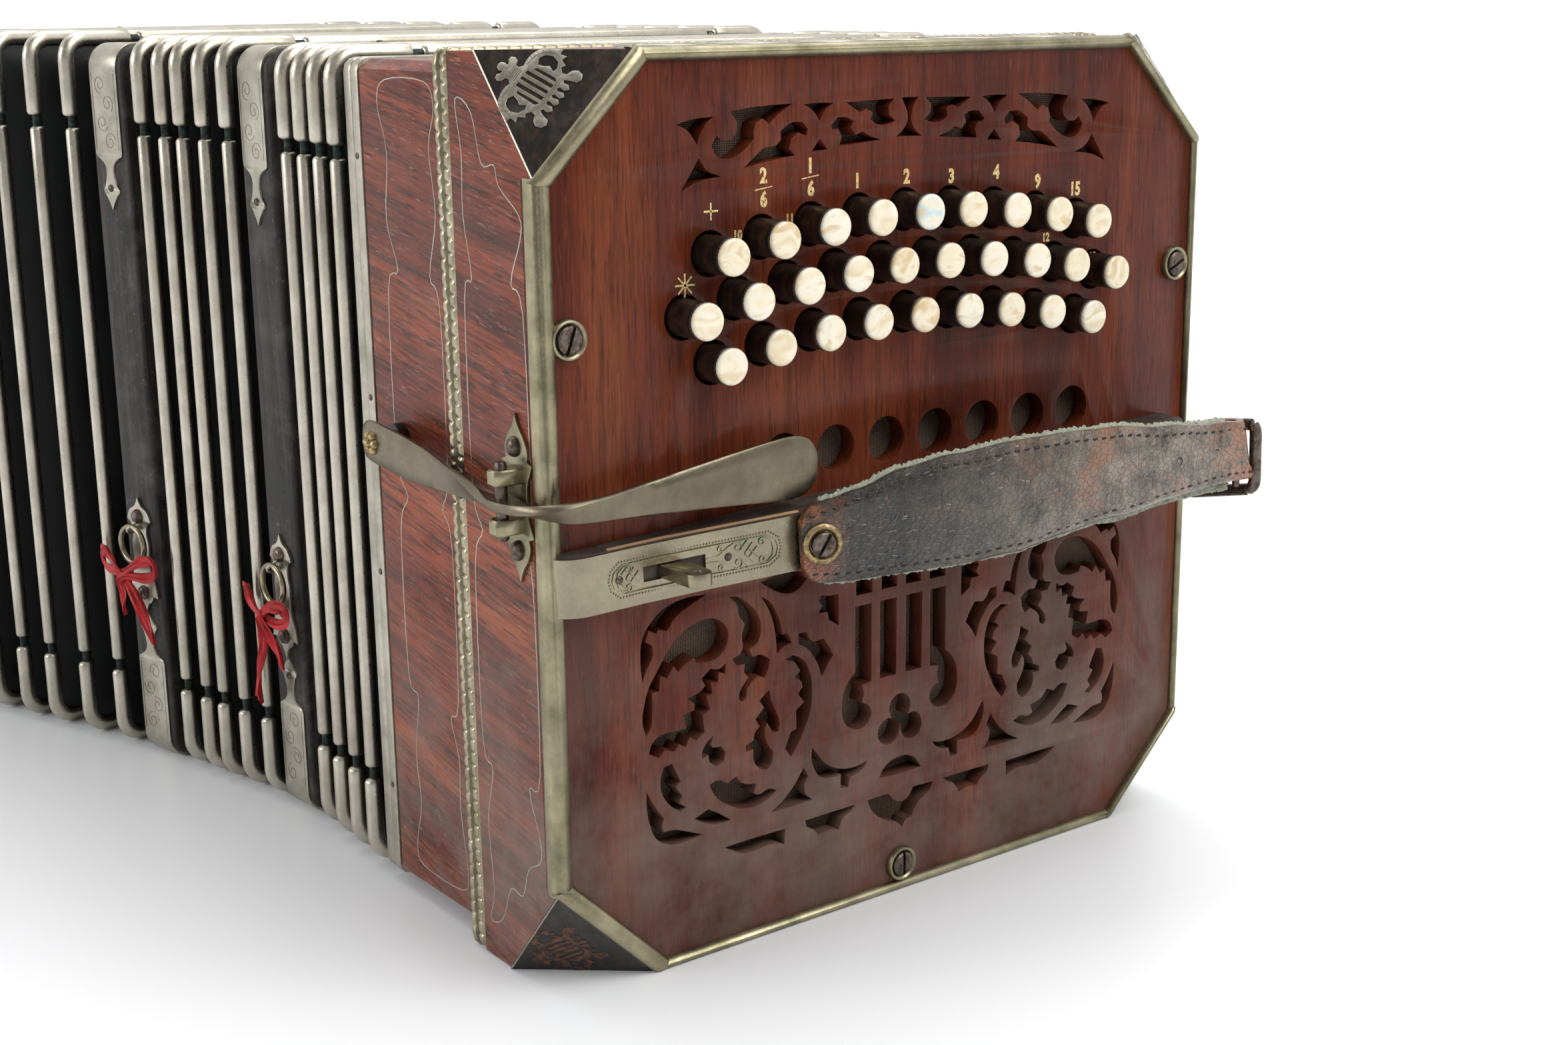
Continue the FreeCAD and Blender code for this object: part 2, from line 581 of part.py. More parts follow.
def frame_fittings():
    """Corner straps, one round each corner of the frame, and the plate that carries the ring."""
    half = STRAP_WIDTH / 2
    low, high = FRAME_BOTTOM, FRAME_TOP
    grow = 0.7
    shell = box(-half, half, -FRAME_HALF_WIDTH - grow, FRAME_HALF_WIDTH + grow, low - grow, high + grow)
    edges = [e for e in shell.Edges if abs(e.tangentAt(e.FirstParameter).x) > 0.99]
    shell = shell.makeFillet(FRAME_ROUND + grow, edges)
    core = box(-half - 1, half + 1, -FRAME_HALF_WIDTH, FRAME_HALF_WIDTH, low, high)
    edges = [e for e in core.Edges if abs(e.tangentAt(e.FirstParameter).x) > 0.99]
    band = shell.cut(core.makeFillet(FRAME_ROUND, edges))
    reach = CORNER_STRAP_REACH
    keep = []
    for side in (-1, 1):
        for top in (False, True):
            y = side * (FRAME_HALF_WIDTH + 5)
            z = high + 5 if top else low - 5
            y_in = side * (FRAME_HALF_WIDTH - reach)
            z_in = high - reach if top else low + reach
            corner = box(-half - 1, half + 1, min(y, y_in), max(y, y_in), min(z, z_in), max(z, z_in))
            keep.append(band.common(corner))
    plate_z = RING_PLATE_Z
    wall = -FRAME_HALF_WIDTH
    plate = polygon([
        (0, wall, plate_z + 19), (-5, wall, plate_z + 14), (-6.5, wall, plate_z - 14), (0, wall, plate_z - 19),
        (6.5, wall, plate_z - 14), (5, wall, plate_z + 14),
    ]).extrude(Vector(0, -1.2, 0))
    eye = box(-EYE_HALF, EYE_HALF, wall - EYE_OUT - 2.3, wall - 1.2, EYE_Z - 2.3, EYE_Z + 2.3)
    eye = eye.cut(cylinder(-5, wall - EYE_OUT, EYE_Z, (1, 0, 0), RING_WIRE + 0.4, 10))
    return keep + [plate.fuse(eye)]


def carry_ring():
    """Split ring that hangs in the eye of the frame's plate, with a ribbon tied to it."""
    wall = -FRAME_HALF_WIDTH
    y = wall - EYE_OUT
    ring = Part.makeTorus(RING_R, RING_WIRE, Vector(0, y, EYE_Z - RING_R), Vector(0, 1, 0))
    knot = Part.makeSphere(3.2, Vector(0, y - 3.2, EYE_Z - 2 * RING_R - 3.4))
    tail = box(-4.0, 2.0, y - 4.6, y - 1.6, EYE_Z - 2 * RING_R - 34, EYE_Z - 2 * RING_R - 3.0)
    loops = box(-13, 13, y - 5.0, y - 1.4, EYE_Z - 2 * RING_R - 7, EYE_Z - 2 * RING_R - 1.4)
    return [ring, knot.multiFuse([tail, loops])]


# ---------------------------------------------------------------- bellows
def edge_points(placement, local_x):
    """Front and back ends of the line where bellows meet a frame or rim, in the part's frame."""
    front = placement.multVec(Vector(local_x, -BELLOWS_HALF_WIDTH, 0))
    back = placement.multVec(Vector(local_x, BELLOWS_HALF_WIDTH, 0))
    return front, back


def fold_ring(front, back, inset):
    """Closed outline of one ridge or valley, in the vertical plane through two points."""
    along = back - front
    along.normalize()
    low = BELLOWS_BOTTOM + inset
    high = BELLOWS_TOP - inset
    near = front + along * inset
    far = back - along * inset
    corners = [
        Vector(near.x, near.y, low), Vector(far.x, far.y, low),
        Vector(far.x, far.y, high), Vector(near.x, near.y, high),
    ]
    return Part.makePolygon(corners + corners[:1])


def bellows_section(start, end, ridges):
    """Folded tube between two lines: a valley at each end, and between the ridges."""
    rings = []
    steps = 2 * ridges + 1
    for i in range(steps):
        share = i / (steps - 1)
        front = start[0] + (end[0] - start[0]) * share
        back = start[1] + (end[1] - start[1]) * share
        rings.append(fold_ring(front, back, 0.0 if i % 2 else FOLD_DEPTH))
    outside = Part.makeLoft(rings, True, True)
    first = fold_ring(start[0], start[1], FOLD_DEPTH + 6)
    last = fold_ring(end[0], end[1], FOLD_DEPTH + 6)
    return outside.cut(Part.makeLoft([first, last], True, True))


# ---------------------------------------------------------------- the two ends
def end_pieces(rows, air_hole):
    """Pieces that both ends have, facing +X."""
    metal = edge_trim()
    cutters = screw_cutters()
    metal[0] = cut(metal[0], cutters)
    return {
        "face_board": face_board(rows),
        "lid_walls": lid_walls(),
        "reed_case": reed_case(air_hole),
        "end_frame": end_frame(),
        "edge_trim": metal,
        "corner_plates": corner_plates(),
        "bands": nickel_bands(),
        "screws": face_screws(),
        "rail": hand_rail(),
        "rail_plate": rail_plate(),
        "strap": hand_strap(),
        "strap_fittings": strap_fittings(),
        "reed_pan": reed_pan(),
        "action": action(rows),
    }


def export(name, solids):
    shape = group(solids if isinstance(solids, list) else [solids])
    shape.exportStep("parts/" + name + ".step")
    print(name, len(shape.Solids), round(shape.Volume), shape.isValid())


os.makedirs("parts", exist_ok=True)

treble = end_pieces(TREBLE_ROWS, True)
export("treble_face_board", treble["face_board"])
export("treble_lid_walls", treble["lid_walls"])
export("treble_reed_case", [treble["reed_case"], treble["end_frame"]])
export("treble_cloth_lining", cloth_lining())
export("treble_edge_trim", treble["edge_trim"])
export("treble_corner_plates", treble["corner_plates"])
export("treble_nickel_bands", treble["bands"] + top_discs())
export("treble_face_screws", treble["screws"])
export("treble_hand_rail", treble["rail"])
export("treble_rail_fittings", [treble["rail_plate"]] + treble["strap_fittings"])
export("treble_hand_strap", treble["strap"])
export("treble_strap_adjuster", strap_adjuster())
export("treble_action", treble["action"])
export("treble_reed_pan", treble["reed_pan"])
export("air_lever", air_lever())
export("air_lever_bracket", air_lever_bracket())
for row, count, middle_y, middle_z, reach in TREBLE_ROWS:
    for i, (y, z) in enumerate(row_places(count, middle_y, middle_z)):
        export("treble_button_%s%02d" % (row, i + 1), button(y, z, reach))

RIM_FACE = INNER_X - END_STRIP_GAP - END_FRAME
place_a = frame_placement(FRAME_A, (0, -FRAME_HALF_WIDTH, 0))
place_b = frame_placement(FRAME_B, (0, -FRAME_HALF_WIDTH, 0))
place_bass = frame_placement(BASS_RIM, (-RIM_FACE, -FRAME_HALF_WIDTH, 0))
half_frame = FRAME_THICK / 2 + BELLOWS_GAP
lines = (
    edge_points(Placement(), RIM_FACE - BELLOWS_GAP),
    edge_points(place_a, half_frame),
    edge_points(place_a, -half_frame),
    edge_points(place_b, half_frame),
    edge_points(place_b, -half_frame),
    edge_points(place_bass, -RIM_FACE + BELLOWS_GAP),
)
export("bellows_treble_section", bellows_section(lines[0], lines[1], RIDGES[0]))
export("bellows_middle_section", bellows_section(lines[2], lines[3], RIDGES[1]))
export("bellows_bass_section", bellows_section(lines[4], lines[5], RIDGES[2]))
for name, place in (("a", place_a), ("b", place_b)):
    export("bellows_frame_" + name, placed(bellows_frame(), place))
    export("frame_%s_fittings" % name, [placed(s, place) for s in frame_fittings()])
    export("carry_ring_" + name, [placed(s, place) for s in carry_ring()])


def bass_side(shape):
    """Mirrors a piece made for the +X end and puts it on the bass end."""
    return placed(shape.mirror(Vector(0, 0, 0), Vector(1, 0, 0)), place_bass)


bass = end_pieces(BASS_ROWS, False)
wood = [bass["face_board"], bass["lid_walls"], bass["reed_case"], bass["end_frame"], bass["rail"]]
metal = bass["edge_trim"] + bass["bands"] + bass["corner_plates"] + bass["screws"]
metal += [bass["rail_plate"]] + bass["strap_fittings"]
export("bass_case", [bass_side(s) for s in wood])
export("bass_metalwork", [bass_side(s) for s in metal])
export("bass_works", [bass_side(s) for s in bass["action"] + bass["reed_pan"]])
export("bass_hand_strap", bass_side(bass["strap"]))
for row, count, middle_y, middle_z, reach in BASS_ROWS:
    buttons = [bass_side(button(y, z, reach)) for y, z in row_places(count, middle_y, middle_z)]
    export("bass_button_row_" + row, buttons)
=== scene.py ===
import math
import random

import bmesh
import bpy
from mathutils import Matrix, Vector


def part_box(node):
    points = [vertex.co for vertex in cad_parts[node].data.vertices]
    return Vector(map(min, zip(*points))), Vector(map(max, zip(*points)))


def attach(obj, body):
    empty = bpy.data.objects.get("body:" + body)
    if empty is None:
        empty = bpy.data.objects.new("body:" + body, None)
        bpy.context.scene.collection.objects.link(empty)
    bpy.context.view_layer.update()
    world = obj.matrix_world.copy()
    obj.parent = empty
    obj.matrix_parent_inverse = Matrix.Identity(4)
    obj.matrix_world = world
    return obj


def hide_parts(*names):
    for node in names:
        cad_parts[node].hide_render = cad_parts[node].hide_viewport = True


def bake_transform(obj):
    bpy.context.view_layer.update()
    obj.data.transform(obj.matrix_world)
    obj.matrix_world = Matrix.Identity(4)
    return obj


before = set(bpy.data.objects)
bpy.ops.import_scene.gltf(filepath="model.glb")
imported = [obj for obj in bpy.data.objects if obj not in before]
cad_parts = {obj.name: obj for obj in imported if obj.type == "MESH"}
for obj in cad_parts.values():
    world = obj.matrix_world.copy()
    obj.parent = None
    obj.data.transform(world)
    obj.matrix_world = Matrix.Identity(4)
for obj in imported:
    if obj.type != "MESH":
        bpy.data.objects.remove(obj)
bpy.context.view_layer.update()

random.seed(11)

# Lengths are in millimetres, and are turned to metres when a piece is made.
MM = 0.001

# ---------------------------------------------------------------- sizes of the object
HEIGHT = 240.0
HALF = 115.5              # half the width of the case
TRIM = 0.5
LID = 39.0                # the lid runs from the face plane back to the seam moulding
SEAM = 7.0
CASE_STEP = 3.5
CASE_HALF = HALF - CASE_STEP
CASE_BACK = -92.0
END_FRAME = (-100.8, -92.3)
BOARD = 5.4
WALL = 9.0
CORNER = 29.4
CORNER_BACK = 25.3
FACE_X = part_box("treble_edge_trim")[1].x / MM - 0.3

FRAME_HALF = 112.0
FRAME_LOW = 0.8
FRAME_HIGH = 238.2
FRAME_A = (-123.0, -110.0, 5.0)
FRAME_B = (-199.5, -125.5, 14.0)
BASS_RIM = (-293.5, -158.0, 24.0)

FOLDS = {"treble": 4, "middle": 5, "bass": 5}
FOLD_DEPTH = 17.0
BELLOWS_HALF = 110.5
BELLOWS_LOW = 3.2
TAPE_SHARE = 0.22         # half the width of a valley's tape, as a share of one fold
BELLOWS_HIGH = 238.0
FOLD_CORNER = 6.5

BUTTON_R = 4.9
BUTTON_PITCH = 16.2
BUTTON_ARC_R = 309.0
BUTTON_STEM = 20.0
TREBLE_ROWS = (("a", 9, 0.7, 196.2, 10.4), ("b", 10, 0.4, 182.8, 10.4), ("c", 9, 0.9, 168.6, 8.8))
BASS_ROWS = (("1", 8, 0.5, 196.2, 10.4), ("2", 8, 0.5, 182.4, 10.4), ("3", 8, 0.5, 168.6, 8.8))

RAIL_TILT = 2.2
RAIL_Z = 111.2
RAIL_HALF_HEIGHT = 8.1
RAIL_START = -115.0
RAIL_END = 104.0
RAIL_ROUND = -106.0        # the rail's low end is rounded back to the face from here
RAIL_LOW = 2.2
RAIL_HIGH = 13.6
RAIL_HIGH_Y = -18.0
RAIL_PLATE_END = -45.0
SLOT_Y = (-91.0, -73.0)
ADJUSTER_Y = -83.0
STRAP_LEFT = -50.0
STRAP_RIGHT = 97.0
LEATHER_START = -46.5
LOOP_HALF = 9.8
LOOP_RISE = 2.1
FOLD_R = 2.6              # middle of the leather round the loop's bar
STRAP_STEPS = 76
STRAP_GAP = 1.2           # from the rail to the strap, at the strap's left end
STRAP_CLIMB = 26.5        # how much further out the strap's right end is
STRAP_BOW = 6.5           # how far its middle bows out
STRAP_CUP = 2.0           # how far its edges bend back
STRAP_WAVE = 0.35

LEVER_PIN = (-11.5, -120.3)
LEVER_Z = 132.0
LEVER_STUD_X = -78.0

EYE_Z = 82.0
EYE_OUT = 4.2
RING_R = 6.2
SCREWS = ((-107.0, 172.0), (108.0, 173.0), (0.5, 7.7))


# ---------------------------------------------------------------- places
def turned_place(front_edge, front_local):
    """Turns about Z and brings a local front point to its place."""
    x, y, turn = front_edge
    rotation = Matrix.Rotation(math.radians(turn), 4, "Z")
    return Matrix.Translation(Vector((x, y, 0)) - rotation @ Vector(front_local)) @ rotation


# Both ends are drawn facing +X, with x = 0 in the plane of the face.
TREBLE = Matrix.Translation((FACE_X, 0, 0))
PLACE_A = turned_place(FRAME_A, (0, -FRAME_HALF, 0))
PLACE_B = turned_place(FRAME_B, (0, -FRAME_HALF, 0))
RIM_X = FACE_X + END_FRAME[0]
BASS = turned_place(BASS_RIM, (-RIM_X, -FRAME_HALF, 0)) @ Matrix.Scale(-1, 4, (1, 0, 0)) @ TREBLE


def plane(origin, across, up):
    """Matrix whose x, y and z are across, up and out of a flat surface."""
    across = Vector(across).normalized()
    up = Vector(up).normalized()
    out = across.cross(up)
    return Matrix.Translation(origin) @ Matrix((across, up, out)).transposed().to_4x4()


FACE_PLANE = plane((0, 0, 0), (0, 1, 0), (0, 0, 1))


# ---------------------------------------------------------------- shapes
def new_object(name, data):
    made = bpy.data.objects.new(name, data)
    bpy.context.scene.collection.objects.link(made)
    return made


class Shape:
    """Points and faces gathered for one piece. Each face has the number of its material."""

    def __init__(self):
        self.points = []
        self.faces = []
        self.paints = []

    def add(self, points, faces, paint=0, matrix=None):
        first = len(self.points)
        if matrix is not None:
            points = [matrix @ Vector(p) for p in points]
        self.points += [Vector(p) for p in points]
        self.faces += [[first + i for i in face] for face in faces]
        self.paints += [paint] * len(faces)
        return self

    def join(self, other, matrix=None, paint=None):
        first = len(self.points)
        points = other.points if matrix is None else [matrix @ p for p in other.points]
        self.points += points
        self.faces += [[first + i for i in face] for face in other.faces]
        self.paints += other.paints if paint is None else [paint] * len(other.faces)
        return self


def piece(name, shape, materials, body, place=None, slot=None, nodes=(), sharp=35, ride=True):
    """Makes the mesh, in place, and hangs it on its body."""
    points = shape.points if place is None else [place @ p for p in shape.points]
    mesh = bpy.data.meshes.new(name)
    mesh.from_pydata([p * MM for p in points], [], shape.faces)
    for material in materials:
        mesh.materials.append(material)
    mesh.polygons.foreach_set("material_index", shape.paints)
    work = bmesh.new()
    work.from_mesh(mesh)
    bmesh.ops.recalc_face_normals(work, faces=work.faces)
    work.to_mesh(mesh)
    work.free()
    mesh.polygons.foreach_set("use_smooth", [True] * len(mesh.polygons))
    mesh.set_sharp_from_angle(angle=math.radians(sharp))
    made = new_object(name, mesh)
    if ride:
        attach(made, body)
    if nodes:
        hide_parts(*nodes)
    return made


def rings(loops, closed_path=False):
    """Skin over a row of equal rings of points."""
    count = len(loops[0])
    points = [p for loop in loops for p in loop]
    faces = []
    rows = len(loops) if closed_path else len(loops) - 1
    for i in range(rows):
        a = i * count
        b = (i + 1) % len(loops) * count
        for j in range(count):
            k = (j + 1) % count
            faces.append((a + j, a + k, b + k, b + j))
    if not closed_path:
        faces.append(tuple(range(count)))
        faces.append(tuple(range(len(points) - count, len(points))))
    return points, faces


def block(x0, x1, y0, y1, z0, z1):
    corners = ((x0, y0), (x1, y0), (x1, y1), (x0, y1))
    return rings([[(x, y, z) for x, y in corners] for z in (z0, z1)])


def prism(outline, low, high):
    """An outline in the XY plane, drawn out along Z."""
    return rings([[(x, y, z) for x, y in outline] for z in (low, high)])


def turned(profile, segments=20, squash=1.0):
    """A round shape about the Z axis; the profile is a list of (radius, height)."""
    loops = []
    for r, z in profile:
        steps = [2 * math.pi * i / segments for i in range(segments)]
        loops.append([(r * math.cos(t) * squash, r * math.sin(t), z) for t in steps])
    return rings(loops)


def dome(radius, height, segments=14, steps=4, sink=0.4):
    profile = [(radius, -sink)]
    for i in range(steps + 1):
        t = math.pi / 2 * i / steps
        profile.append((max(radius * math.cos(t), 0.02), height * math.sin(t)))
    return turned(profile, segments)


def circle(centre, radius, steps=20):
    turns = [2 * math.pi * i / steps for i in range(steps)]
    return [(centre[0] + radius * math.cos(t), centre[1] + radius * math.sin(t)) for t in turns]


def smooth(points, steps=5, closed=False):
    """A curve through points, given as tuples of any length."""
    vectors = [Vector(p) for p in points]
    count = len(vectors)
    spans = count if closed else count - 1
    made = []
    for i in range(spans):
        if closed:
            a, b, c, d = (vectors[(i + k) % count] for k in (-1, 0, 1, 2))
        else:
            b, c = vectors[i], vectors[i + 1]
            a = vectors[i - 1] if i else b * 2 - c
            d = vectors[i + 2] if i + 2 < count else c * 2 - b
        for j in range(steps):
            t = j / steps
            pull = b * 2 + (c - a) * t + (a * 2 - b * 5 + c * 4 - d) * t ** 2
            made.append((pull + (b * 3 - a - c * 3 + d) * t ** 3) * 0.5)
    if not closed:
        made.append(vectors[-1])
    return made


def lerp(table, at):
    """Value at a place in a list of (place, value) pairs."""
    for (a, low), (b, high) in zip(table, table[1:]):
        if at <= b:
            return low + (high - low) * max(0.0, (at - a)) / (b - a)
    return table[-1][1]


def eased(table, at):
    for (a, low), (b, high) in zip(table, table[1:]):
        if at <= b:
            t = max(0.0, (at - a)) / (b - a)
            return low + (high - low) * t * t * (3 - 2 * t)
    return table[-1][1]


def line_on_plane(points, width, height, closed=False, sink=0.15):
    """A thin raised line along points (u, v) of a plane."""
    flat = [Vector(p) for p in points]
    count = len(flat)
    loops = []
    for i in range(count):
        before = flat[i - 1] if i or closed else flat[0]
        after = flat[(i + 1) % count] if i + 1 < count or closed else flat[-1]
        along = (after - before).normalized()
        side = Vector((-along.y, along.x)) * width / 2
        section = ((1, -sink), (0.62, height), (-0.62, height), (-1, -sink))
        loops.append([(flat[i].x + side.x * s, flat[i].y + side.y * s, h) for s, h in section])
    return rings(loops, closed_path=closed)


def scroll(centre, radius, turns, start, way=1):
    """Points of a spiral that winds inwards, to a quarter of its radius."""
    made = []
    count = max(6, int(18 * turns))
    for i in range(count + 1):
        share = i / count
        r = radius * (1 - share * 0.75)
        angle = start + way * share * turns * 2 * math.pi
        made.append((centre[0] + r * math.cos(angle), centre[1] + r * math.sin(angle)))
    return made


def mesh_from(curve):
    """Turns a curve into a mesh and clears the curve away."""
    holder = new_object(curve.name, curve)
    bpy.context.view_layer.update()
    mesh = bpy.data.meshes.new_from_object(holder.evaluated_get(bpy.context.evaluated_depsgraph_get()))
    bpy.data.objects.remove(holder)
    bpy.data.curves.remove(curve)
    return mesh


SHARP_BEND = math.radians(42)    # an outline that turns by more than this at a point keeps its corner


def cut_plate(loops, thick, soften=0.2, steps=4):
    """A flat plate below the XY plane. Loops inside the first one are holes with softened edges."""
    curve = bpy.data.curves.new("plate", "CURVE")
    curve.dimensions = "2D"
    curve.fill_mode = "BOTH"
    curve.resolution_u = steps
    curve.extrude = thick / 2 - soften
    curve.bevel_depth = soften
    curve.bevel_resolution = 1
    curve.offset = -soften
    for loop in loops:
        spline = curve.splines.new("BEZIER")
        spline.bezier_points.add(len(loop) - 1)
        spline.use_cyclic_u = True
        for i, point in enumerate(loop):
            before = Vector(loop[i]) - Vector(loop[i - 1])
            after = Vector(loop[(i + 1) % len(loop)]) - Vector(loop[i])
            bend = abs(before.angle_signed(after, 0.0))
            knot = spline.bezier_points[i]
            knot.co = (point[0], point[1], 0)
            kind = "VECTOR" if bend > SHARP_BEND else "AUTO"
            knot.handle_left_type = kind
            knot.handle_right_type = kind
    mesh = mesh_from(curve)
    work = bmesh.new()
    work.from_mesh(mesh)
    bmesh.ops.remove_doubles(work, verts=work.verts, dist=0.0005)
    points = [v.co - Vector((0, 0, thick / 2)) for v in work.verts]
    faces = [tuple(v.index for v in f.verts) for f in work.faces]
    work.free()
    bpy.data.meshes.remove(mesh)
    return points, faces


class Outline:
    """Rounded rectangle in the YZ plane, walked by its length from the middle of its lower side."""

    def __init__(self, half, low, high, radius):
        self.parts = []
        self.length = 0.0
        y, z, r = half - radius, (low + radius, high - radius), radius
        straight_y = 2 * y
        straight_z = z[1] - z[0]
        self.line((0, low), (1, 0), straight_y / 2)
        for centre, turn, next_line in (
            ((y, z[0]), -90, ((half, z[0]), (0, 1), straight_z)),
            ((y, z[1]), 0, ((y, high), (-1, 0), straight_y)),
            ((-y, z[1]), 90, ((-half, z[1]), (0, -1), straight_z)),
            ((-y, z[0]), 180, ((-y, low), (1, 0), straight_y / 2)),
        ):
            self.parts.append((self.length, r * math.pi / 2, centre, turn, r))
            self.length += r * math.pi / 2
            self.line(*next_line)

    def line(self, start, way, length):
        self.parts.append((self.length, length, start, way, 0))
        self.length += length

    def ring(self, count, sink=0.0):
        """Evenly spaced points (y, z) round the outline, moved inwards by sink."""
        made = []
        for i in range(count):
            y, z, out_y, out_z = self.at(self.length * i / count)
            made.append((y - out_y * sink, z - out_z * sink))
        return made

    def corner(self, number):
        """Length at the middle of a corner: 0 is low +Y, then 1, 2, 3 the way round."""
        start, length = self.parts[1 + 2 * number][:2]
        return start + length / 2

    def at(self, length):
        """(y, z, outward y, outward z)"""
        length %= self.length
        for start, extent, anchor, way, radius in self.parts:
            if length <= start + extent + 1e-6:
                s = length - start
                if not radius:
                    y, z = anchor[0] + way[0] * s, anchor[1] + way[1] * s
                    return y, z, way[1], -way[0]
                angle = math.radians(way) + s / radius
                out = math.cos(angle), math.sin(angle)
                return anchor[0] + radius * out[0], anchor[1] + radius * out[1], out[0], out[1]
        return self.at(0)

    def stops(self, start, end, step, bend_step=1.6):
        """Lengths to sample between start and end, closer together round the corners."""
        made = [start]
        marks = sorted(
            p[0] + shift for p in self.parts for shift in (0.0, self.length, -self.length)
            if start < p[0] + shift < end
        )
        for mark in marks + [end]:
            middle = (made[-1] + mark) / 2 % self.length
            curved = any(p[4] and p[0] < middle < p[0] + p[1] for p in self.parts)
            count = max(1, math.ceil((mark - made[-1]) / (bend_step if curved else step)))
            base = made[-1]
            made += [base + (mark - base) * (i + 1) / count for i in range(count)]
        return made


# ---------------------------------------------------------------- materials
class Paint:
    """A material's nodes, with a short call for each kind."""

    def __init__(self, name):
        self.material = bpy.data.materials.new(name)
        self.material.use_nodes = True
        self.tree = self.material.node_tree
        self.shader = self.tree.nodes["Principled BSDF"]

    def node(self, kind, values, **settings):
        made = self.tree.nodes.new("ShaderNode" + kind)
        for key, value in settings.items():
            setattr(made, key, value)
        for key, value in values.items():
            self.feed(made.inputs[key], value)
        return made

    def feed(self, socket, value):
        if isinstance(value, bpy.types.NodeSocket):
            self.tree.links.new(value, socket)
        else:
            socket.default_value = value

    def spot(self, stretch=(1, 1, 1), turn=(0, 0, 0)):
        """Place on the object, in metres. A stretch of 10 along an axis draws the pattern out along it."""
        at = self.node("TexCoord", {}).outputs["Object"]
        turn = [math.radians(t) for t in turn]
        values = {"Vector": at, "Scale": stretch, "Rotation": turn}
        return self.node("Mapping", values, vector_type="TEXTURE").outputs["Vector"]

    def noise(self, spot, scale, detail=4.0, rough=0.55, twist=0.0):
        values = {"Vector": spot, "Scale": scale, "Detail": detail, "Roughness": rough, "Distortion": twist}
        return self.node("TexNoise", values).outputs["Fac"]

    def cells(self, spot, scale, feature="F1"):
        values = {"Vector": spot, "Scale": scale}
        return self.node("TexVoronoi", values, feature=feature).outputs["Distance"]

    def waves(self, spot, scale, axis="X", twist=0.0):
        values = {"Vector": spot, "Scale": scale, "Distortion": twist}
        return self.node("TexWave", values, bands_direction=axis).outputs["Fac"]

    def ramp(self, share, *stops):
        made = self.node("ValToRGB", {"Fac": share})
        ends = made.color_ramp.elements
        while len(ends) < len(stops):
            ends.new(0.5)
        for end, (at, colour) in zip(ends, stops):
            end.position = at
            end.color = (*colour, 1) if isinstance(colour, tuple) else (colour, colour, colour, 1)
        return made.outputs["Color"]

    def mix(self, share, low, high):
        made = self.node("Mix", {0: share}, data_type="RGBA")
        for index, value in ((6, low), (7, high)):
            self.feed(made.inputs[index], (*value, 1) if isinstance(value, tuple) else value)
        return made.outputs[2]

    def sum(self, kind, a, b=0.0, clamp=False):
        return self.node("Math", {0: a, 1: b}, operation=kind, use_clamp=clamp).outputs[0]

    def finish(self, colour, rough, height=None, lift=0.3, reach=0.0003, **fixed):
        self.feed(self.shader.inputs["Base Color"], colour)
        self.feed(self.shader.inputs["Roughness"], rough)
        if height is not None:
            values = {"Height": height, "Strength": lift, "Distance": reach}
            self.feed(self.shader.inputs["Normal"], self.node("Bump", values).outputs["Normal"])
        for key, value in fixed.items():
            self.feed(self.shader.inputs[key.replace("_", " ")], value)
        return self.material


def rosewood(name, turn, dashes=0.10, contrast=0.42, tone=0.84, dust=0.02):
    """Dark red-brown wood; its grain runs along Z before the turn. Dashes are its pale open pores."""
    paint = Paint(name)
    broad = paint.noise(paint.spot((1, 1, 7), turn), 26, 4, 0.55, 0.7)
    stripe = paint.noise(paint.spot((1, 1, 14), turn), 190, 4, 0.62, 0.5)
    fine = paint.noise(paint.spot((1, 1, 20), turn), 900, 3, 0.6)
    pores = paint.noise(paint.spot((1, 1, 9), turn), 1900, 1.5, 0.5)
    dark_pores = paint.noise(paint.spot((1, 1, 13), turn), 1300, 2, 0.5)
    haze = paint.noise(paint.spot(), 22, 5, 0.7)
    stops = (
        (0.30, (0.048, 0.0100, 0.0042)), (0.44, (0.108, 0.0190, 0.0072)),
        (0.56, (0.160, 0.0310, 0.0110)), (0.72, (0.230, 0.0590, 0.0200)),
    )
    wood = paint.ramp(broad, *[(at, tuple(part * tone for part in colour)) for at, colour in stops])
    wood = paint.mix(paint.ramp(stripe, (0.32, contrast), (0.54, 0.0)), wood, (0.030, 0.0075, 0.0040))
    wood = paint.mix(paint.ramp(fine, (0.36, contrast), (0.54, 0.0)), wood, (0.030, 0.0075, 0.0045))
    wood = paint.mix(
        paint.ramp(dark_pores, (0.585, 0.0), (0.66, contrast * 1.1)), wood, (0.014, 0.0040, 0.0030)
    )
    fleck = paint.ramp(pores, (0.640, 0.0), (0.715, dashes))
    wood = paint.mix(fleck, wood, (0.34, 0.20, 0.15))
    # Pale veil of dust with painted reflection of the floor: stronger towards the bottom of the case, and at
    # the level set by dust above that.
    height = paint.node("SeparateXYZ", {0: paint.spot()}).outputs["Z"]
    low = paint.node("MapRange", {0: height, 1: 0.120, 2: 0.040, 4: 1.0}).outputs[0]
    dust_and_reflection = paint.ramp(haze, (0.36, 0.0), (0.66, 0.62))
    dust_and_reflection = paint.sum("MULTIPLY", dust_and_reflection, paint.sum("ADD", paint.sum("MULTIPLY", low, 0.95), dust))
    wood = paint.mix(dust_and_reflection, wood, (0.185, 0.140, 0.115))
    wear = paint.noise(paint.spot(), 110, 4, 0.7)
    rough = paint.ramp(wear, (0.3, 0.24), (0.75, 0.50))
    fixed = {"Specular_IOR_Level": 0.15, "Coat_Weight": 0.07, "Coat_Roughness": 0.10}
    return paint.finish(wood, rough, pores, 0.25, 0.0002, **fixed)


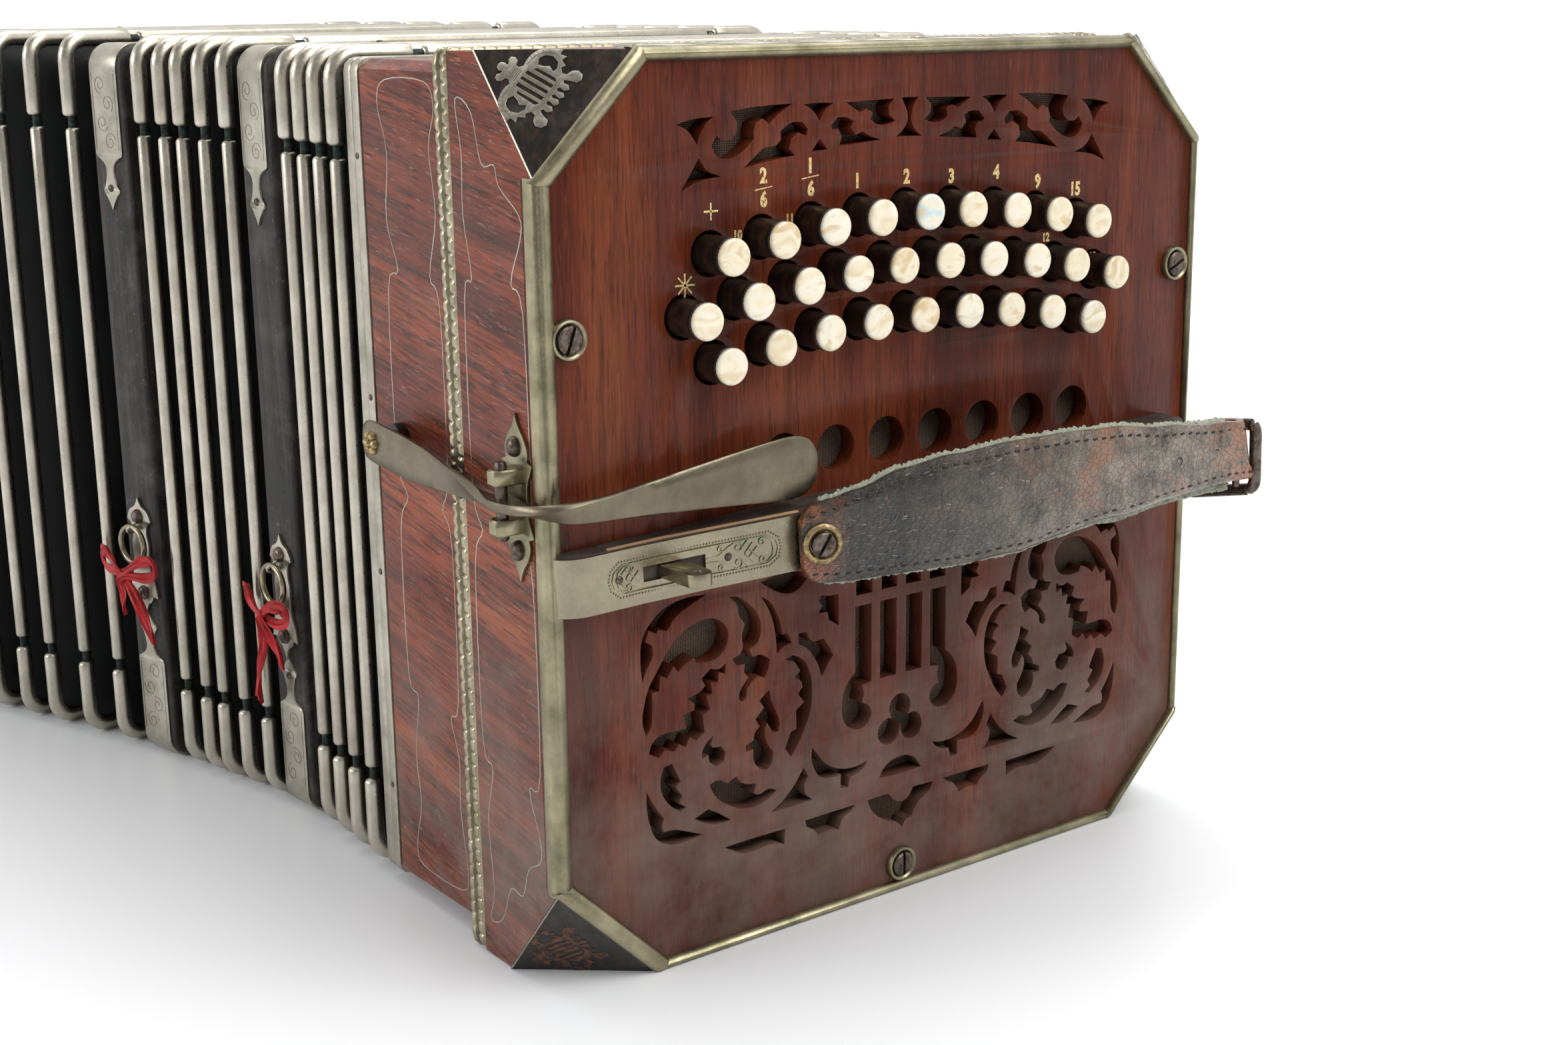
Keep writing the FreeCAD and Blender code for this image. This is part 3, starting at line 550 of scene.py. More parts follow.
def nickel(name, bright, dark, stain=0.35, smoothness=0.30):
    paint = Paint(name)
    wide = paint.noise(paint.spot(), 85, 5, 0.65)
    fine = paint.noise(paint.spot(), 1100, 3, 0.6)
    metal = paint.mix(paint.ramp(wide, (0.35, 0.0), (0.68, 1.0)), bright, dark)
    spots = paint.noise(paint.spot(), 300, 4, 0.75)
    metal = paint.mix(paint.ramp(spots, (0.62, 0.0), (0.74, stain)), metal, (0.16, 0.105, 0.05))
    green = paint.noise(paint.spot((1, 1, 2)), 130, 3, 0.6, 1.0)
    metal = paint.mix(paint.ramp(green, (0.62, 0.0), (0.80, stain)), metal, (0.17, 0.26, 0.17))
    rough = paint.ramp(fine, (0.3, smoothness), (0.8, smoothness + 0.2))
    return paint.finish(metal, rough, fine, 0.10, 0.0002, Metallic=1.0)


def worn_metal(name, bright, dark, scale=400, smoothness=0.32):
    paint = Paint(name)
    wide = paint.noise(paint.spot(), scale, 4, 0.7)
    metal = paint.mix(paint.ramp(wide, (0.38, 0.0), (0.62, 1.0)), bright, dark)
    rough = paint.ramp(wide, (0.3, smoothness), (0.7, smoothness + 0.25))
    return paint.finish(metal, rough, wide, 0.15, 0.0002, Metallic=0.9)


def stained_wood(name, base, worn, dust=0.25, turn=(0, 0, 0), gloss=0.45):
    """Black or dark brown wood, rubbed and dusty."""
    paint = Paint(name)
    grain = paint.noise(paint.spot((1, 1, 18), turn), 420, 4, 0.65)
    rub = paint.noise(paint.spot(), 70, 5, 0.7)
    dirt = paint.noise(paint.spot(), 420, 4, 0.75)
    wood = paint.mix(paint.ramp(grain, (0.45, 0.0), (0.72, 0.8)), base, worn)
    wood = paint.mix(paint.ramp(rub, (0.50, 0.0), (0.75, dust)), wood, (0.135, 0.120, 0.105))
    wood = paint.mix(paint.ramp(dirt, (0.62, 0.0), (0.75, dust)), wood, (0.24, 0.23, 0.22))
    rough = paint.ramp(rub, (0.3, gloss), (0.8, gloss + 0.25))
    return paint.finish(wood, rough, grain, 0.25, 0.0003, Specular_IOR_Level=0.3)


def bellows_card():
    paint = Paint("bellows_card")
    wide = paint.noise(paint.spot(), 40, 4, 0.6)
    fine = paint.noise(paint.spot(), 1500, 3, 0.6)
    card = paint.mix(
        paint.ramp(wide, (0.4, 0.0), (0.75, 0.8)), (0.0050, 0.0055, 0.0055), (0.0075, 0.0125, 0.0105)
    )
    rough = paint.ramp(wide, (0.3, 0.42), (0.8, 0.62))
    return paint.finish(
        card, rough, fine, 0.35, 0.0003, Specular_IOR_Level=0.22, Coat_Weight=0.06, Coat_Roughness=0.35
    )


def weave(name, light, dark):
    paint = Paint(name)
    pitch = 0.00085           # one thread to the next, in metres
    spot = paint.spot()
    across = paint.waves(spot, 1 / pitch / 2, "Y", 0.5)
    up = paint.waves(spot, 1 / pitch / 2, "Z", 0.5)
    both = paint.sum("MULTIPLY", across, up)
    stain = paint.noise(spot, 60, 4, 0.6)
    cloth = paint.mix(paint.ramp(both, (0.05, 0.0), (0.55, 1.0)), dark, light)
    cloth = paint.mix(paint.ramp(stain, (0.4, 0.0), (0.8, 0.5)), cloth, (0.035, 0.02, 0.013))
    return paint.finish(cloth, 0.9, both, 0.8, 0.0006, Sheen_Weight=0.2)


def pearl(name, base, tint):
    paint = Paint(name)
    spot = paint.spot((1, 1.6, 1))
    swirl = paint.noise(spot, 170, 2, 0.5, 1.2)
    fine = paint.noise(spot, 900, 3, 0.6, 1.0)
    shell = paint.ramp(
        swirl, (0.34, base), (0.48, (0.80, 0.72, 0.55)), (0.60, tint), (0.74, (0.64, 0.50, 0.31))
    )
    rough = paint.ramp(fine, (0.3, 0.13), (0.8, 0.26))
    return paint.finish(shell, rough, fine, 0.03, 0.0002, Coat_Weight=0.5, Coat_Roughness=0.08)


def strap_leather(name, place):
    """Black leather, rust-coloured towards the loop and pale grey there in painted sheen over rubbed wear,
    orange where it bends at both ends.
    """
    paint = Paint(name)
    spot = paint.spot()
    cracks = paint.cells(paint.spot((1, 1.5, 1), (20, 0, 0)), 720, "DISTANCE_TO_EDGE")
    creases = paint.cells(paint.spot((1, 1, 2.4), (-15, 0, 0)), 300, "DISTANCE_TO_EDGE")
    broad = paint.noise(spot, 60, 5, 0.65)
    grain = paint.noise(spot, 1800, 3, 0.6)
    way = place.inverted()[1]
    dot = paint.node("VectorMath", {0: spot, 1: tuple(way[:3])}, operation="DOT_PRODUCT").outputs["Value"]
    along = paint.sum("ADD", dot, way[3] * MM)
    left_end = paint.node("MapRange", {0: along, 1: -0.034, 2: -0.052}).outputs[0]
    right_end = paint.node("MapRange", {0: along, 1: 0.082, 2: 0.104}).outputs[0]
    ends = paint.sum("ADD", left_end, right_end, True)
    middle = paint.node("MapRange", {0: along, 1: -0.020, 2: 0.045}).outputs[0]
    patch = paint.noise(spot, 130, 5, 0.7)
    hide = paint.mix(
        paint.ramp(broad, (0.42, 0.0), (0.70, 0.9)), (0.012, 0.0115, 0.0105), (0.045, 0.034, 0.024)
    )
    # Pale grey over the middle and loop end: painted sheen over rubbed wear.
    sheen_and_rubbed_grey = paint.sum("MULTIPLY", middle, paint.ramp(patch, (0.34, 0.10), (0.60, 0.80)))
    hide = paint.mix(sheen_and_rubbed_grey, hide, (0.30, 0.25, 0.20))
    rust = paint.sum("MULTIPLY", middle, paint.ramp(broad, (0.52, 0.0), (0.66, 0.7)))
    hide = paint.mix(rust, hide, (0.26, 0.100, 0.038))
    worn = paint.sum("MULTIPLY", ends, paint.ramp(patch, (0.40, 0.0), (0.54, 1.0)))
    hide = paint.mix(worn, hide, (0.36, 0.105, 0.030))
    rubbed = paint.ramp(creases, (0.0, 1.0), (0.022, 0.0))
    hide = paint.mix(paint.sum("MULTIPLY", rubbed, 0.40), hide, (0.17, 0.085, 0.042))
    hide = paint.mix(paint.ramp(cracks, (0.0, 0.55), (0.05, 0.0)), hide, (0.006, 0.005, 0.005))
    rough = paint.ramp(broad, (0.3, 0.17), (0.8, 0.38))
    rise = paint.sum("ADD", paint.ramp(cracks, (0.0, 0.0), (0.10, 0.8)), paint.sum("MULTIPLY", grain, 0.3))
    return paint.finish(hide, rough, rise, 0.7, 0.0004, Coat_Weight=0.35, Coat_Roughness=0.22)


def fuzzy(name, pale, deep):
    paint = Paint(name)
    spot = paint.spot()
    curl = paint.noise(spot, 900, 4, 0.75, 1.5)
    tone = paint.noise(spot, 120, 3, 0.6)
    wool = paint.mix(paint.ramp(curl, (0.35, 0.0), (0.62, 1.0)), deep, pale)
    wool = paint.mix(paint.ramp(tone, (0.45, 0.0), (0.7, 0.55)), wool, (0.30, 0.40, 0.20))
    return paint.finish(wool, 0.95, curl, 1.0, 0.0012, Sheen_Weight=0.6)


def ribbon_cloth():
    paint = Paint("ribbon_red")
    spot = paint.spot()
    threads = paint.waves(spot, 1500, "DIAGONAL", 1.0)
    tone = paint.noise(spot, 160, 3, 0.6)
    red = paint.mix(paint.ramp(tone, (0.3, 0.0), (0.7, 1.0)), (0.30, 0.003, 0.006), (0.50, 0.008, 0.010))
    return paint.finish(red, 0.55, threads, 0.35, 0.0003, Sheen_Weight=0.12, Sheen_Roughness=0.4)


def gilt():
    paint = Paint("gilt_marks")
    flake = paint.noise(paint.spot(), 1600, 3, 0.7)
    gold = paint.mix(paint.ramp(flake, (0.36, 0.0), (0.50, 1.0)), (0.34, 0.20, 0.07), (0.80, 0.60, 0.27))
    return paint.finish(gold, 0.45, flake, 0.3, 0.0002, Metallic=0.5)


def old_inlay():
    """Glue left in the recess of a lost inlay."""
    paint = Paint("old_inlay")
    lumps = paint.noise(paint.spot(), 500, 4, 0.75)
    glue = paint.mix(paint.ramp(lumps, (0.42, 0.0), (0.62, 1.0)), (0.018, 0.010, 0.008), (0.15, 0.055, 0.022))
    return paint.finish(glue, 0.7, lumps, 0.8, 0.0006)


def floor_paint():
    paint = Paint("floor_sweep")
    tone = paint.noise(paint.spot(), 3, 2, 0.5)
    pale = paint.mix(tone, (0.80, 0.81, 0.83), (0.82, 0.83, 0.85))
    away = paint.node("VectorMath", {0: paint.spot()}, operation="LENGTH").outputs["Value"]
    glow = paint.node("MapRange", {0: away, 1: 0.5, 2: 1.6, 4: 0.42}).outputs[0]
    return paint.finish(pale, 0.38, Emission_Color=(1, 1, 1, 1), Emission_Strength=glow)


WOOD_FACE = rosewood("rosewood_face", (0, 0, 0))
WOOD_SIDE = rosewood("rosewood_side", (0, 100, 0), 0.45, 0.72, 1.42, 0.22)
WOOD_BASS_FACE = rosewood("rosewood_bass_face", (0, 0, 24))
WOOD_BASS_SIDE = rosewood("rosewood_bass_side", (0, 100, 24), 0.45, 0.72, 1.42, 0.22)
NICKEL = nickel("nickel_silver", (0.46, 0.43, 0.36), (0.28, 0.26, 0.205), 0.25, 0.27)
STRIP_METAL = nickel("nickel_strips", (0.56, 0.52, 0.44), (0.40, 0.37, 0.30), 0.16, 0.26)
NICKEL_EDGE = nickel("nickel_edging", (0.36, 0.32, 0.21), (0.17, 0.16, 0.095), 0.6, 0.28)
NICKEL_CLEAN = nickel("nickel_polished", (0.33, 0.29, 0.205), (0.24, 0.21, 0.145), 0.30, 0.24)
NICKEL_LEVER = nickel("nickel_lever", (0.20, 0.172, 0.12), (0.14, 0.12, 0.082), 0.34, 0.28)
NICKEL_RELIEF = nickel("nickel_relief", (0.40, 0.35, 0.23), (0.17, 0.19, 0.12), 0.5, 0.3)
MOULDING = nickel("embossed_moulding", (0.44, 0.39, 0.28), (0.22, 0.19, 0.12), 0.35, 0.25)
# Dark nickel for engraved lines, and for painted shade in the seam moulding's groove.
NICKEL_DARK = nickel("nickel_engraving", (0.24, 0.21, 0.14), (0.13, 0.11, 0.07), 0.5, 0.4)
VERDIGRIS = worn_metal("verdigris", (0.045, 0.062, 0.052), (0.018, 0.024, 0.021), 700, 0.5)
STEEL = worn_metal("dark_steel", (0.17, 0.135, 0.11), (0.055, 0.042, 0.036), 500, 0.28)
BRASS = worn_metal("old_brass", (0.46, 0.34, 0.17), (0.16, 0.11, 0.06), 600, 0.30)
BLACK_WOOD = stained_wood("black_wood", (0.012, 0.011, 0.010), (0.055, 0.042, 0.034), 0.50)
EBONY = stained_wood("ebony_plate", (0.010, 0.008, 0.007), (0.045, 0.025, 0.015), 0.18, gloss=0.25)
RAIL_WOOD = stained_wood("rail_wood", (0.030, 0.022, 0.019), (0.085, 0.055, 0.040), 0.65, (90, 0, 0))
BARE_WOOD = stained_wood("bare_wood", (0.42, 0.24, 0.12), (0.60, 0.38, 0.20), 0.2, (90, 0, 0))
STEM = stained_wood("button_stem", (0.009, 0.006, 0.005), (0.065, 0.028, 0.016), 0.10, gloss=0.35)
SPRUCE = stained_wood("spruce", (0.48, 0.32, 0.17), (0.62, 0.45, 0.27), 0.1)
CARD = bellows_card()
CLOTH = weave("lining_cloth", (0.23, 0.115, 0.050), (0.040, 0.019, 0.009))
PEARL = pearl("pearl_cream", (0.70, 0.58, 0.38), (0.80, 0.76, 0.63))
PEARL_WARM = pearl("pearl_warm", (0.64, 0.48, 0.27), (0.76, 0.66, 0.47))
PEARL_BLUE = pearl("pearl_blue", (0.62, 0.74, 0.74), (0.50, 0.66, 0.72))
LEATHER = {
    "treble": strap_leather("strap_leather", TREBLE), "bass": strap_leather("bass_strap_leather", BASS)
}
FLEECE = fuzzy("fleece_lining", (0.66, 0.66, 0.50), (0.26, 0.31, 0.18))
RIBBON = ribbon_cloth()
GILT = gilt()
OLD_INLAY = old_inlay()


# ---------------------------------------------------------------- fretwork
# Openings of the lower fretwork, left of its middle line: (y, z). The right half mirrors them.
FRET_AXIS = 0.5
LOWER_FRET = [
    [(-67, 100.9), (-74, 101), (-80, 99.6), (-84.5, 96.5), (-87.2, 92.5), (-87.9, 87), (-87.5, 81.2),
     (-86.2, 84.2), (-84.2, 87.6), (-84.2, 90.4), (-86.4, 91.8), (-85.2, 94.7), (-82.9, 93.4),
     (-82.2, 94.3), (-79.5, 93.5), (-77, 96.4), (-72.5, 98.8)],
    [(-81.9, 84.4), (-79, 88.4), (-75.4, 91.5), (-71, 93.6), (-66, 94.2), (-62.5, 92.8), (-60.3, 90),
     (-60.4, 86.5), (-62.4, 83.8), (-65.8, 82.6), (-70.4, 82.9), (-71.1, 84.6), (-73.6, 83.7),
     (-76.3, 81.7), (-77.7, 83.7), (-79.8, 80.7), (-81.9, 81.8), (-82.4, 77.7), (-84.6, 77.6),
     (-84.7, 72), (-85.4, 68), (-86.8, 66.4), (-87.7, 70.3), (-87, 75), (-85.6, 79), (-83.6, 82)],
    [(-60.9, 80.8), (-61.2, 78), (-63.3, 79), (-63.6, 76.3), (-66, 76.6), (-65.4, 73.4), (-67.4, 73.2),
     (-66.4, 69.2), (-68.8, 68.2), (-68.2, 63.3), (-71, 61.6), (-73, 63), (-74.3, 60.5),
     (-76.5, 61.8), (-78, 60.1), (-81, 61.3), (-83, 59.5), (-86, 61.1), (-84.8, 63.9), (-81.5, 65.6),
     (-77.5, 65.5), (-74, 65.5), (-74.9, 69.4), (-71.3, 70), (-71.2, 71.8), (-73.4, 73.7), (-69.5, 74.6),
     (-67.6, 76), (-68.8, 78.2), (-65.8, 80.3), (-63.4, 79.6)],
    [(-65.4, 61.5), (-67.7, 59.8), (-69.1, 57.4), (-68.9, 56.1), (-67, 56.6), (-66.6, 54.4),
     (-64.5, 52.8), (-62.1, 53.8), (-61.4, 56), (-62.8, 58), (-65.5, 58.2), (-66.3, 59.4)],
    [(-81.4, 56.4), (-78.9, 56.8), (-77.6, 54.2), (-76.2, 51.3), (-77.9, 50.1), (-75.7, 47.1),
     (-76.9, 45.2), (-74.6, 43.7), (-76.4, 43), (-79.4, 45.2), (-81.9, 48.8), (-82.5, 53)],
    [(-87, 50.8), (-84.8, 46.6), (-81.8, 42.2), (-82.5, 40.4), (-82, 38.4), (-78.5, 38.2),
     (-75.2, 37), (-69.6, 34.6), (-74.5, 34.1), (-79.8, 34.4), (-84, 36.9), (-86, 41), (-87, 46)],
    [(-71.8, 39.6), (-67.4, 41.2), (-64, 39.2), (-60, 36.3), (-64.5, 36.3), (-68.5, 37.6)],
    [(-59.4, 98.8), (-57, 98.4), (-53, 95.6), (-50, 92), (-49.1, 88), (-50.4, 84.7), (-53.2, 83.2),
     (-52, 80.8), (-49, 80.8), (-46.3, 79), (-46.9, 76.4), (-48, 74.2), (-50.5, 75.2), (-53.9, 72.4),
     (-54.4, 70), (-55.7, 69), (-56.8, 70), (-56.3, 72), (-53.4, 75.4), (-54.9, 77.2), (-54.6, 79.4),
     (-57.2, 79.5), (-58.7, 81.6), (-56.3, 82.2), (-55.2, 84), (-55.5, 87.3), (-54.4, 90.6),
     (-56.3, 93.2), (-57, 96.4)],
    [(-48.9, 96.9), (-46, 95), (-43.6, 91), (-42.3, 87.2), (-41.9, 85), (-40.1, 85.2), (-38.8, 82.2),
     (-41.4, 81.7), (-43.8, 80.2), (-44.1, 84.5), (-45.2, 90), (-46.7, 93.5)],
    [(-41, 77.8), (-38.4, 78.5), (-35, 76.6), (-32.8, 73), (-31.8, 68), (-32.3, 62), (-34.1, 57.4),
     (-36.6, 53), (-39.3, 49.6), (-41.2, 52.3), (-39.2, 56.6), (-37.2, 57.2), (-37.3, 62.5),
     (-34.4, 64.4), (-36.8, 67.2), (-35, 68.6), (-35.5, 70.5), (-37.6, 72.2), (-35.8, 73.6),
     (-38, 76.6)],
    [(-46.5, 70.3), (-46, 67.4), (-44.4, 63.9), (-43.1, 60.2), (-43.6, 57.8), (-45.3, 58),
     (-47.4, 61.3), (-48.2, 59.4), (-48, 56.8), (-47, 54.6), (-45.4, 52.4), (-46, 49.2),
     (-47.7, 47.8), (-50, 48.7), (-51.9, 51.4), (-52, 54.7), (-54.5, 54.6), (-54.6, 56.2), (-52, 57.2),
     (-51.4, 59.2), (-49.8, 60.7), (-51.2, 63), (-48.3, 65.8), (-49.9, 68)],
    [(-66.8, 48), (-64, 48.6), (-61, 47), (-58, 48.2), (-56.2, 46), (-51.3, 44.5), (-52.3, 42),
     (-50.5, 41.2), (-47, 42), (-44.3, 41), (-47, 39.4), (-51.5, 38.2), (-56.5, 38.8), (-61.5, 41.3),
     (-65, 44.5)],
    [(-34.8, 45.3), (-33.3, 42.4), (-34.7, 40.4), (-34.2, 37.4), (-31.9, 35.2), (-38, 35), (-46.3, 35),
     (-42.6, 37), (-40.6, 38.6), (-38, 41)],
    [(-31.7, 50.3), (-30.2, 48.4), (-28, 45.5), (-25, 43.2), (-21, 41.6), (-16, 41.1), (-11.8, 41.8),
     (-14, 39.7), (-18.3, 38.5), (-18.9, 35.7), (-21.6, 35.9), (-21.5, 40.2), (-25, 40), (-28.5, 40.9),
     (-31, 44), (-32, 47.5)],
    [(-28.4, 93.6), (-26, 93), (-22.4, 92.8), (-22.3, 84), (-25.7, 86.2), (-26.2, 88.6), (-29.3, 88.8),
     (-28, 90.6), (-29.2, 92.2)],
    [(-36.3, 84.2), (-33.8, 84.2), (-32.5, 82), (-31, 80.7), (-27.7, 81.2), (-25.5, 78),
     (-24.3, 75.8), (-26.3, 73.6), (-28.4, 70.4), (-29.5, 74), (-31.3, 77), (-33.6, 79.7),
     (-36.3, 81.3)],
    [(-49, 101), (-45.5, 98.6), (-42, 96.8), (-38.5, 96.3), (-35.5, 97.4), (-33.5, 99.2), (-35, 101.6),
     (-42, 102.2)],
    [(-62, 28.8), (-55, 29), (-41.5, 28.9), (-41.8, 24.5), (-45, 25.6), (-55.5, 25.5), (-59, 27)],
    [(-34.3, 29.5), (-25, 29.6), (-16.3, 29.6), (-18, 28.2), (-20.5, 27), (-22.5, 23.8), (-25.5, 24.6),
     (-29.8, 24.2), (-31.3, 26), (-33.8, 27.4)],
    [(-16.3, 88), (-10.5, 88), (-10.5, 65.3), (-14, 64.9), (-13.3, 62), (-14, 59.7), (-11.2, 58),
     (-10.4, 55.5), (-12, 53.1), (-15, 52.1), (-18.2, 53.1), (-20.6, 56), (-21.1, 60), (-20.4, 64),
     (-18.6, 67), (-16.3, 69)],
    [(-7.3, 88), (-1.3, 88), (-1.3, 65.5), (-7.2, 65.5)],
    [(-16, 96.5), (-10.2, 97), (-10.2, 91.3), (-16, 91.3)],
    [(-6.6, 97.2), (-1.2, 97.4), (-1.2, 91.5), (-6.8, 91.4)],
]
LOWER_MIDDLE = [
    [(-7.4, 35.5), (-5.2, 38.5), (0.3, 40.3), (5.6, 38.9), (8.4, 35.4), (0.5, 35.2)],
    [(-11.6, 29.8), (-3.9, 29.9), (-2.3, 27.9), (0.7, 26.4), (3.6, 27.1), (5.5, 29.8), (13, 29.6),
     (12.2, 27.6), (9.5, 26), (7.3, 24.6), (5, 20.9), (2.7, 20.5), (1.3, 18.5), (-0.5, 20.4), (-4, 21.7),
     (-10, 26.2)],
]
UPPER_AXIS = 2.3
UPPER_FRET = [
    [(-73.5, 221.5), (-70, 222.4), (-62.5, 223), (-65, 221), (-66.7, 218.6), (-67.5, 216.5),
     (-68.8, 218.4), (-70.5, 220.2)],
    [(-72.5, 205.3), (-67.5, 207.3), (-60.4, 208.3), (-64.6, 210), (-67, 213), (-69.8, 209)],
    [(-57, 224.1), (-50, 224.9), (-37.5, 225.3), (-41.5, 223.2), (-45, 220.7), (-47, 222), (-49.3, 221),
     (-50, 219), (-49.8, 217.2), (-54, 213.8), (-58.5, 212.5), (-61.5, 213.5), (-63, 216), (-61.4, 218.2),
     (-59.8, 217.1), (-57, 217.1), (-55.2, 219.2), (-55, 221.5)],
    [(-53, 210), (-45, 211.3), (-36.8, 212.3), (-38.6, 214), (-38, 216.6), (-35.5, 218.1), (-33, 217.1),
     (-32.5, 218.8), (-34.3, 220.6), (-37.6, 220.6), (-41.3, 218.6), (-41.1, 216.4), (-43, 215),
     (-46.5, 214.6), (-49.5, 212.6)],
    [(-33.5, 225), (-29, 225.2), (-24, 225), (-26.6, 223.4), (-28.6, 220.7), (-30.5, 223.2)],
    [(-31.2, 213), (-26, 213.3), (-28.5, 216)],
    [(-22, 214), (-14, 214.5), (-8, 215), (-11.5, 216), (-14, 217.3), (-16.5, 216.5), (-18.2, 218.5),
     (-17.3, 220.2), (-19.5, 221.2), (-22.6, 221.2), (-24.8, 219.2), (-24.3, 218.4), (-22.4, 218.4),
     (-21.2, 216.4)],
    [(-19.6, 225), (-12, 225.2), (-3.4, 225.4), (-5.2, 223.6), (-5, 221.3), (-2.8, 219.7), (-6, 218.8),
     (-9.5, 219.2), (-11.2, 220.4), (-10.6, 222.3), (-12.8, 223.2), (-15, 222.4)],
]
UPPER_MIDDLE = [
    [(-0.6, 225.6), (5.2, 225.6), (3.2, 222.6), (2.6, 220.2), (4, 217.2), (6.4, 215.4), (2, 215.5),
     (-2.4, 215.5), (0.3, 217.6), (1.6, 220.2), (1, 222.8)],
]


def mirrored(loops, axis):
    return [[(2 * axis - y, z) for y, z in reversed(loop)] for loop in loops]


def trefoil():
    """Outline of three discs that overlap, seen from their middle."""
    discs = ((0.2, 55.4, 3.9), (-4.0, 48.9, 3.9), (4.6, 48.9, 3.9))
    middle = Vector((0.3, 51.1))
    made = []
    for i in range(54):
        angle = 2 * math.pi * i / 54
        way = Vector((math.cos(angle), math.sin(angle)))
        reach = 0.6
        for y, z, r in discs:
            gap = Vector((y, z)) - middle
            along = gap.dot(way)
            inside = r * r - (gap.length_squared - along * along)
            if inside > 0:
                reach = max(reach, along + math.sqrt(inside))
        made.append(tuple(middle + way * reach))
    return made


def row_places(count, middle_y, middle_z):
    places = []
    for i in range(count):
        along = (i - (count - 1) / 2) * BUTTON_PITCH
        drop = BUTTON_ARC_R - math.sqrt(BUTTON_ARC_R ** 2 - along ** 2)
        places.append((middle_y + along, middle_z - drop))
    return places


def octagon(half, low, high, corner):
    return [
        (-half + corner, low), (half - corner, low), (half, low + corner), (half, high - corner),
        (half - corner, high), (-half + corner, high), (-half, high - corner), (-half, low + corner),
    ]


def face_board(end, rows):
    """Fretted board with the button holes and the round sound holes."""
    wood = HALF - TRIM
    loops = [octagon(wood, TRIM, HEIGHT - TRIM, CORNER)]
    for _, count, y, z, _ in rows:
        loops += [circle(place, 5.8, 16) for place in row_places(count, y, z)]
    loops += [circle((-41.2 + i * 17.9, 134.0), 6.3) for i in range(7)]
    loops += LOWER_FRET + mirrored(LOWER_FRET, FRET_AXIS) + LOWER_MIDDLE + [trefoil()]
    loops += UPPER_FRET + mirrored(UPPER_FRET, UPPER_AXIS) + UPPER_MIDDLE
    shape = Shape().add(*cut_plate(loops, BOARD, 0.22, 4), matrix=FACE_PLANE)
    shape.points = [p - Vector((TRIM, 0, 0)) for p in shape.points]
    end.make("fretted_board", shape, [end.face_wood], "rosewood", "face_board", sharp=25)


# ---------------------------------------------------------------- the case
class End:
    """One end of the instrument: where it stands, what it rides on, and its woods."""

    def __init__(self, name, place, body, face_wood, side_wood):
        self.name = name
        self.place = place
        self.body = body
        self.face_wood = face_wood
        self.side_wood = side_wood

    def nodes(self, node):
        """CAD nodes that a piece stands for; the bass end groups its own."""
        if self.name == "treble":
            return ("treble_" + node,)
        grouped = {
            "face_board": "bass_case", "nickel_bands": "bass_metalwork", "hand_strap": "bass_hand_strap"
        }
        return (grouped[node],) if node in grouped else ()

    def make(self, name, shape, materials, slot, node=None, **more):
        nodes = self.nodes(node) if node else ()
        return piece(self.name + "_" + name, shape, materials, self.body, self.place, slot, nodes, **more)


def facet(side, top, sink=0.0):
    """Corners of the triangle that cuts a corner off the case, and its outward normal."""
    y = side * HALF
    z = HEIGHT if top else 0.0
    down = -1 if top else 1
    corners = [
        Vector((0, y - side * CORNER, z)), Vector((0, y, z + down * CORNER)),
        Vector((-CORNER_BACK, y, z)),
    ]
    normal = (corners[1] - corners[0]).cross(corners[2] - corners[0]).normalized()
    if normal.x < 0:
        normal = -normal
    return [c - normal * sink for c in corners], normal


def lid_walls(end):
    """The outer case: a shell with its four front corners cut off, open inside."""
    wood = HALF - TRIM
    low, high = TRIM, HEIGHT - TRIM
    back, front = -LID, -TRIM - BOARD
    cut = CORNER * (CORNER_BACK + front) / CORNER_BACK
    square = [
        (-wood, low), (wood, low), (wood, low), (wood, high), (wood, high), (-wood, high), (-wood, high),
        (-wood, low),
    ]
    inner = octagon(wood - WALL, low + WALL, high - WALL, CORNER)
    cut_corners = octagon(wood, low, high, cut)
    loops = [[(x, y, z) for y, z in outline] for x, outline in (
        (back, square), (-CORNER_BACK + 0.5, square), (front, cut_corners), (front, inner), (back, inner),
    )]
    shape = Shape().add(*rings(loops, closed_path=True))
    board = octagon(wood, low, high, CORNER)
    for a, b in ((1, 2), (3, 4), (5, 6), (7, 0)):
        behind = [(front, *cut_corners[a]), (front, *cut_corners[b]), (front, *board[b]), (front, *board[a])]
        edge = [(-TRIM - 0.1, *board[a]), (-TRIM - 0.1, *board[b])]
        shape.add(behind + edge, [(0, 1, 2, 3), (0, 1, 5, 4), (3, 2, 5, 4), (0, 3, 4), (1, 2, 5)])
    end.make("lid_walls", shape, [end.side_wood], "rosewood", "lid_walls", sharp=20)


def reed_case(end):
    half, low, high = CASE_HALF, CASE_STEP, HEIGHT - CASE_STEP
    outer = Outline(half, low, high, 1.2)
    inner = Outline(half - WALL, low + WALL, high - WALL, 1.0)
    loops = []
    for x, outline in ((CASE_BACK, outer), (-LID, outer), (-LID, inner), (CASE_BACK, inner)):
        loops.append([(x, *p) for p in outline.ring(160)])
    shape = Shape().add(*rings(loops, closed_path=True))
    end.make("reed_case", shape, [end.side_wood], "rosewood", "reed_case", sharp=30)


def sweep_round(outline, section, step):
    """Sweeps a section round an outline. section(length) gives (x, height above the outline) points."""
    loops = []
    for length in outline.stops(0.0, outline.length, step)[:-1]:
        y, z, out_y, out_z = outline.at(length)
        loops.append([(x, y + out_y * h, z + out_z * h) for x, h in section(length)])
    return rings(loops, closed_path=True)


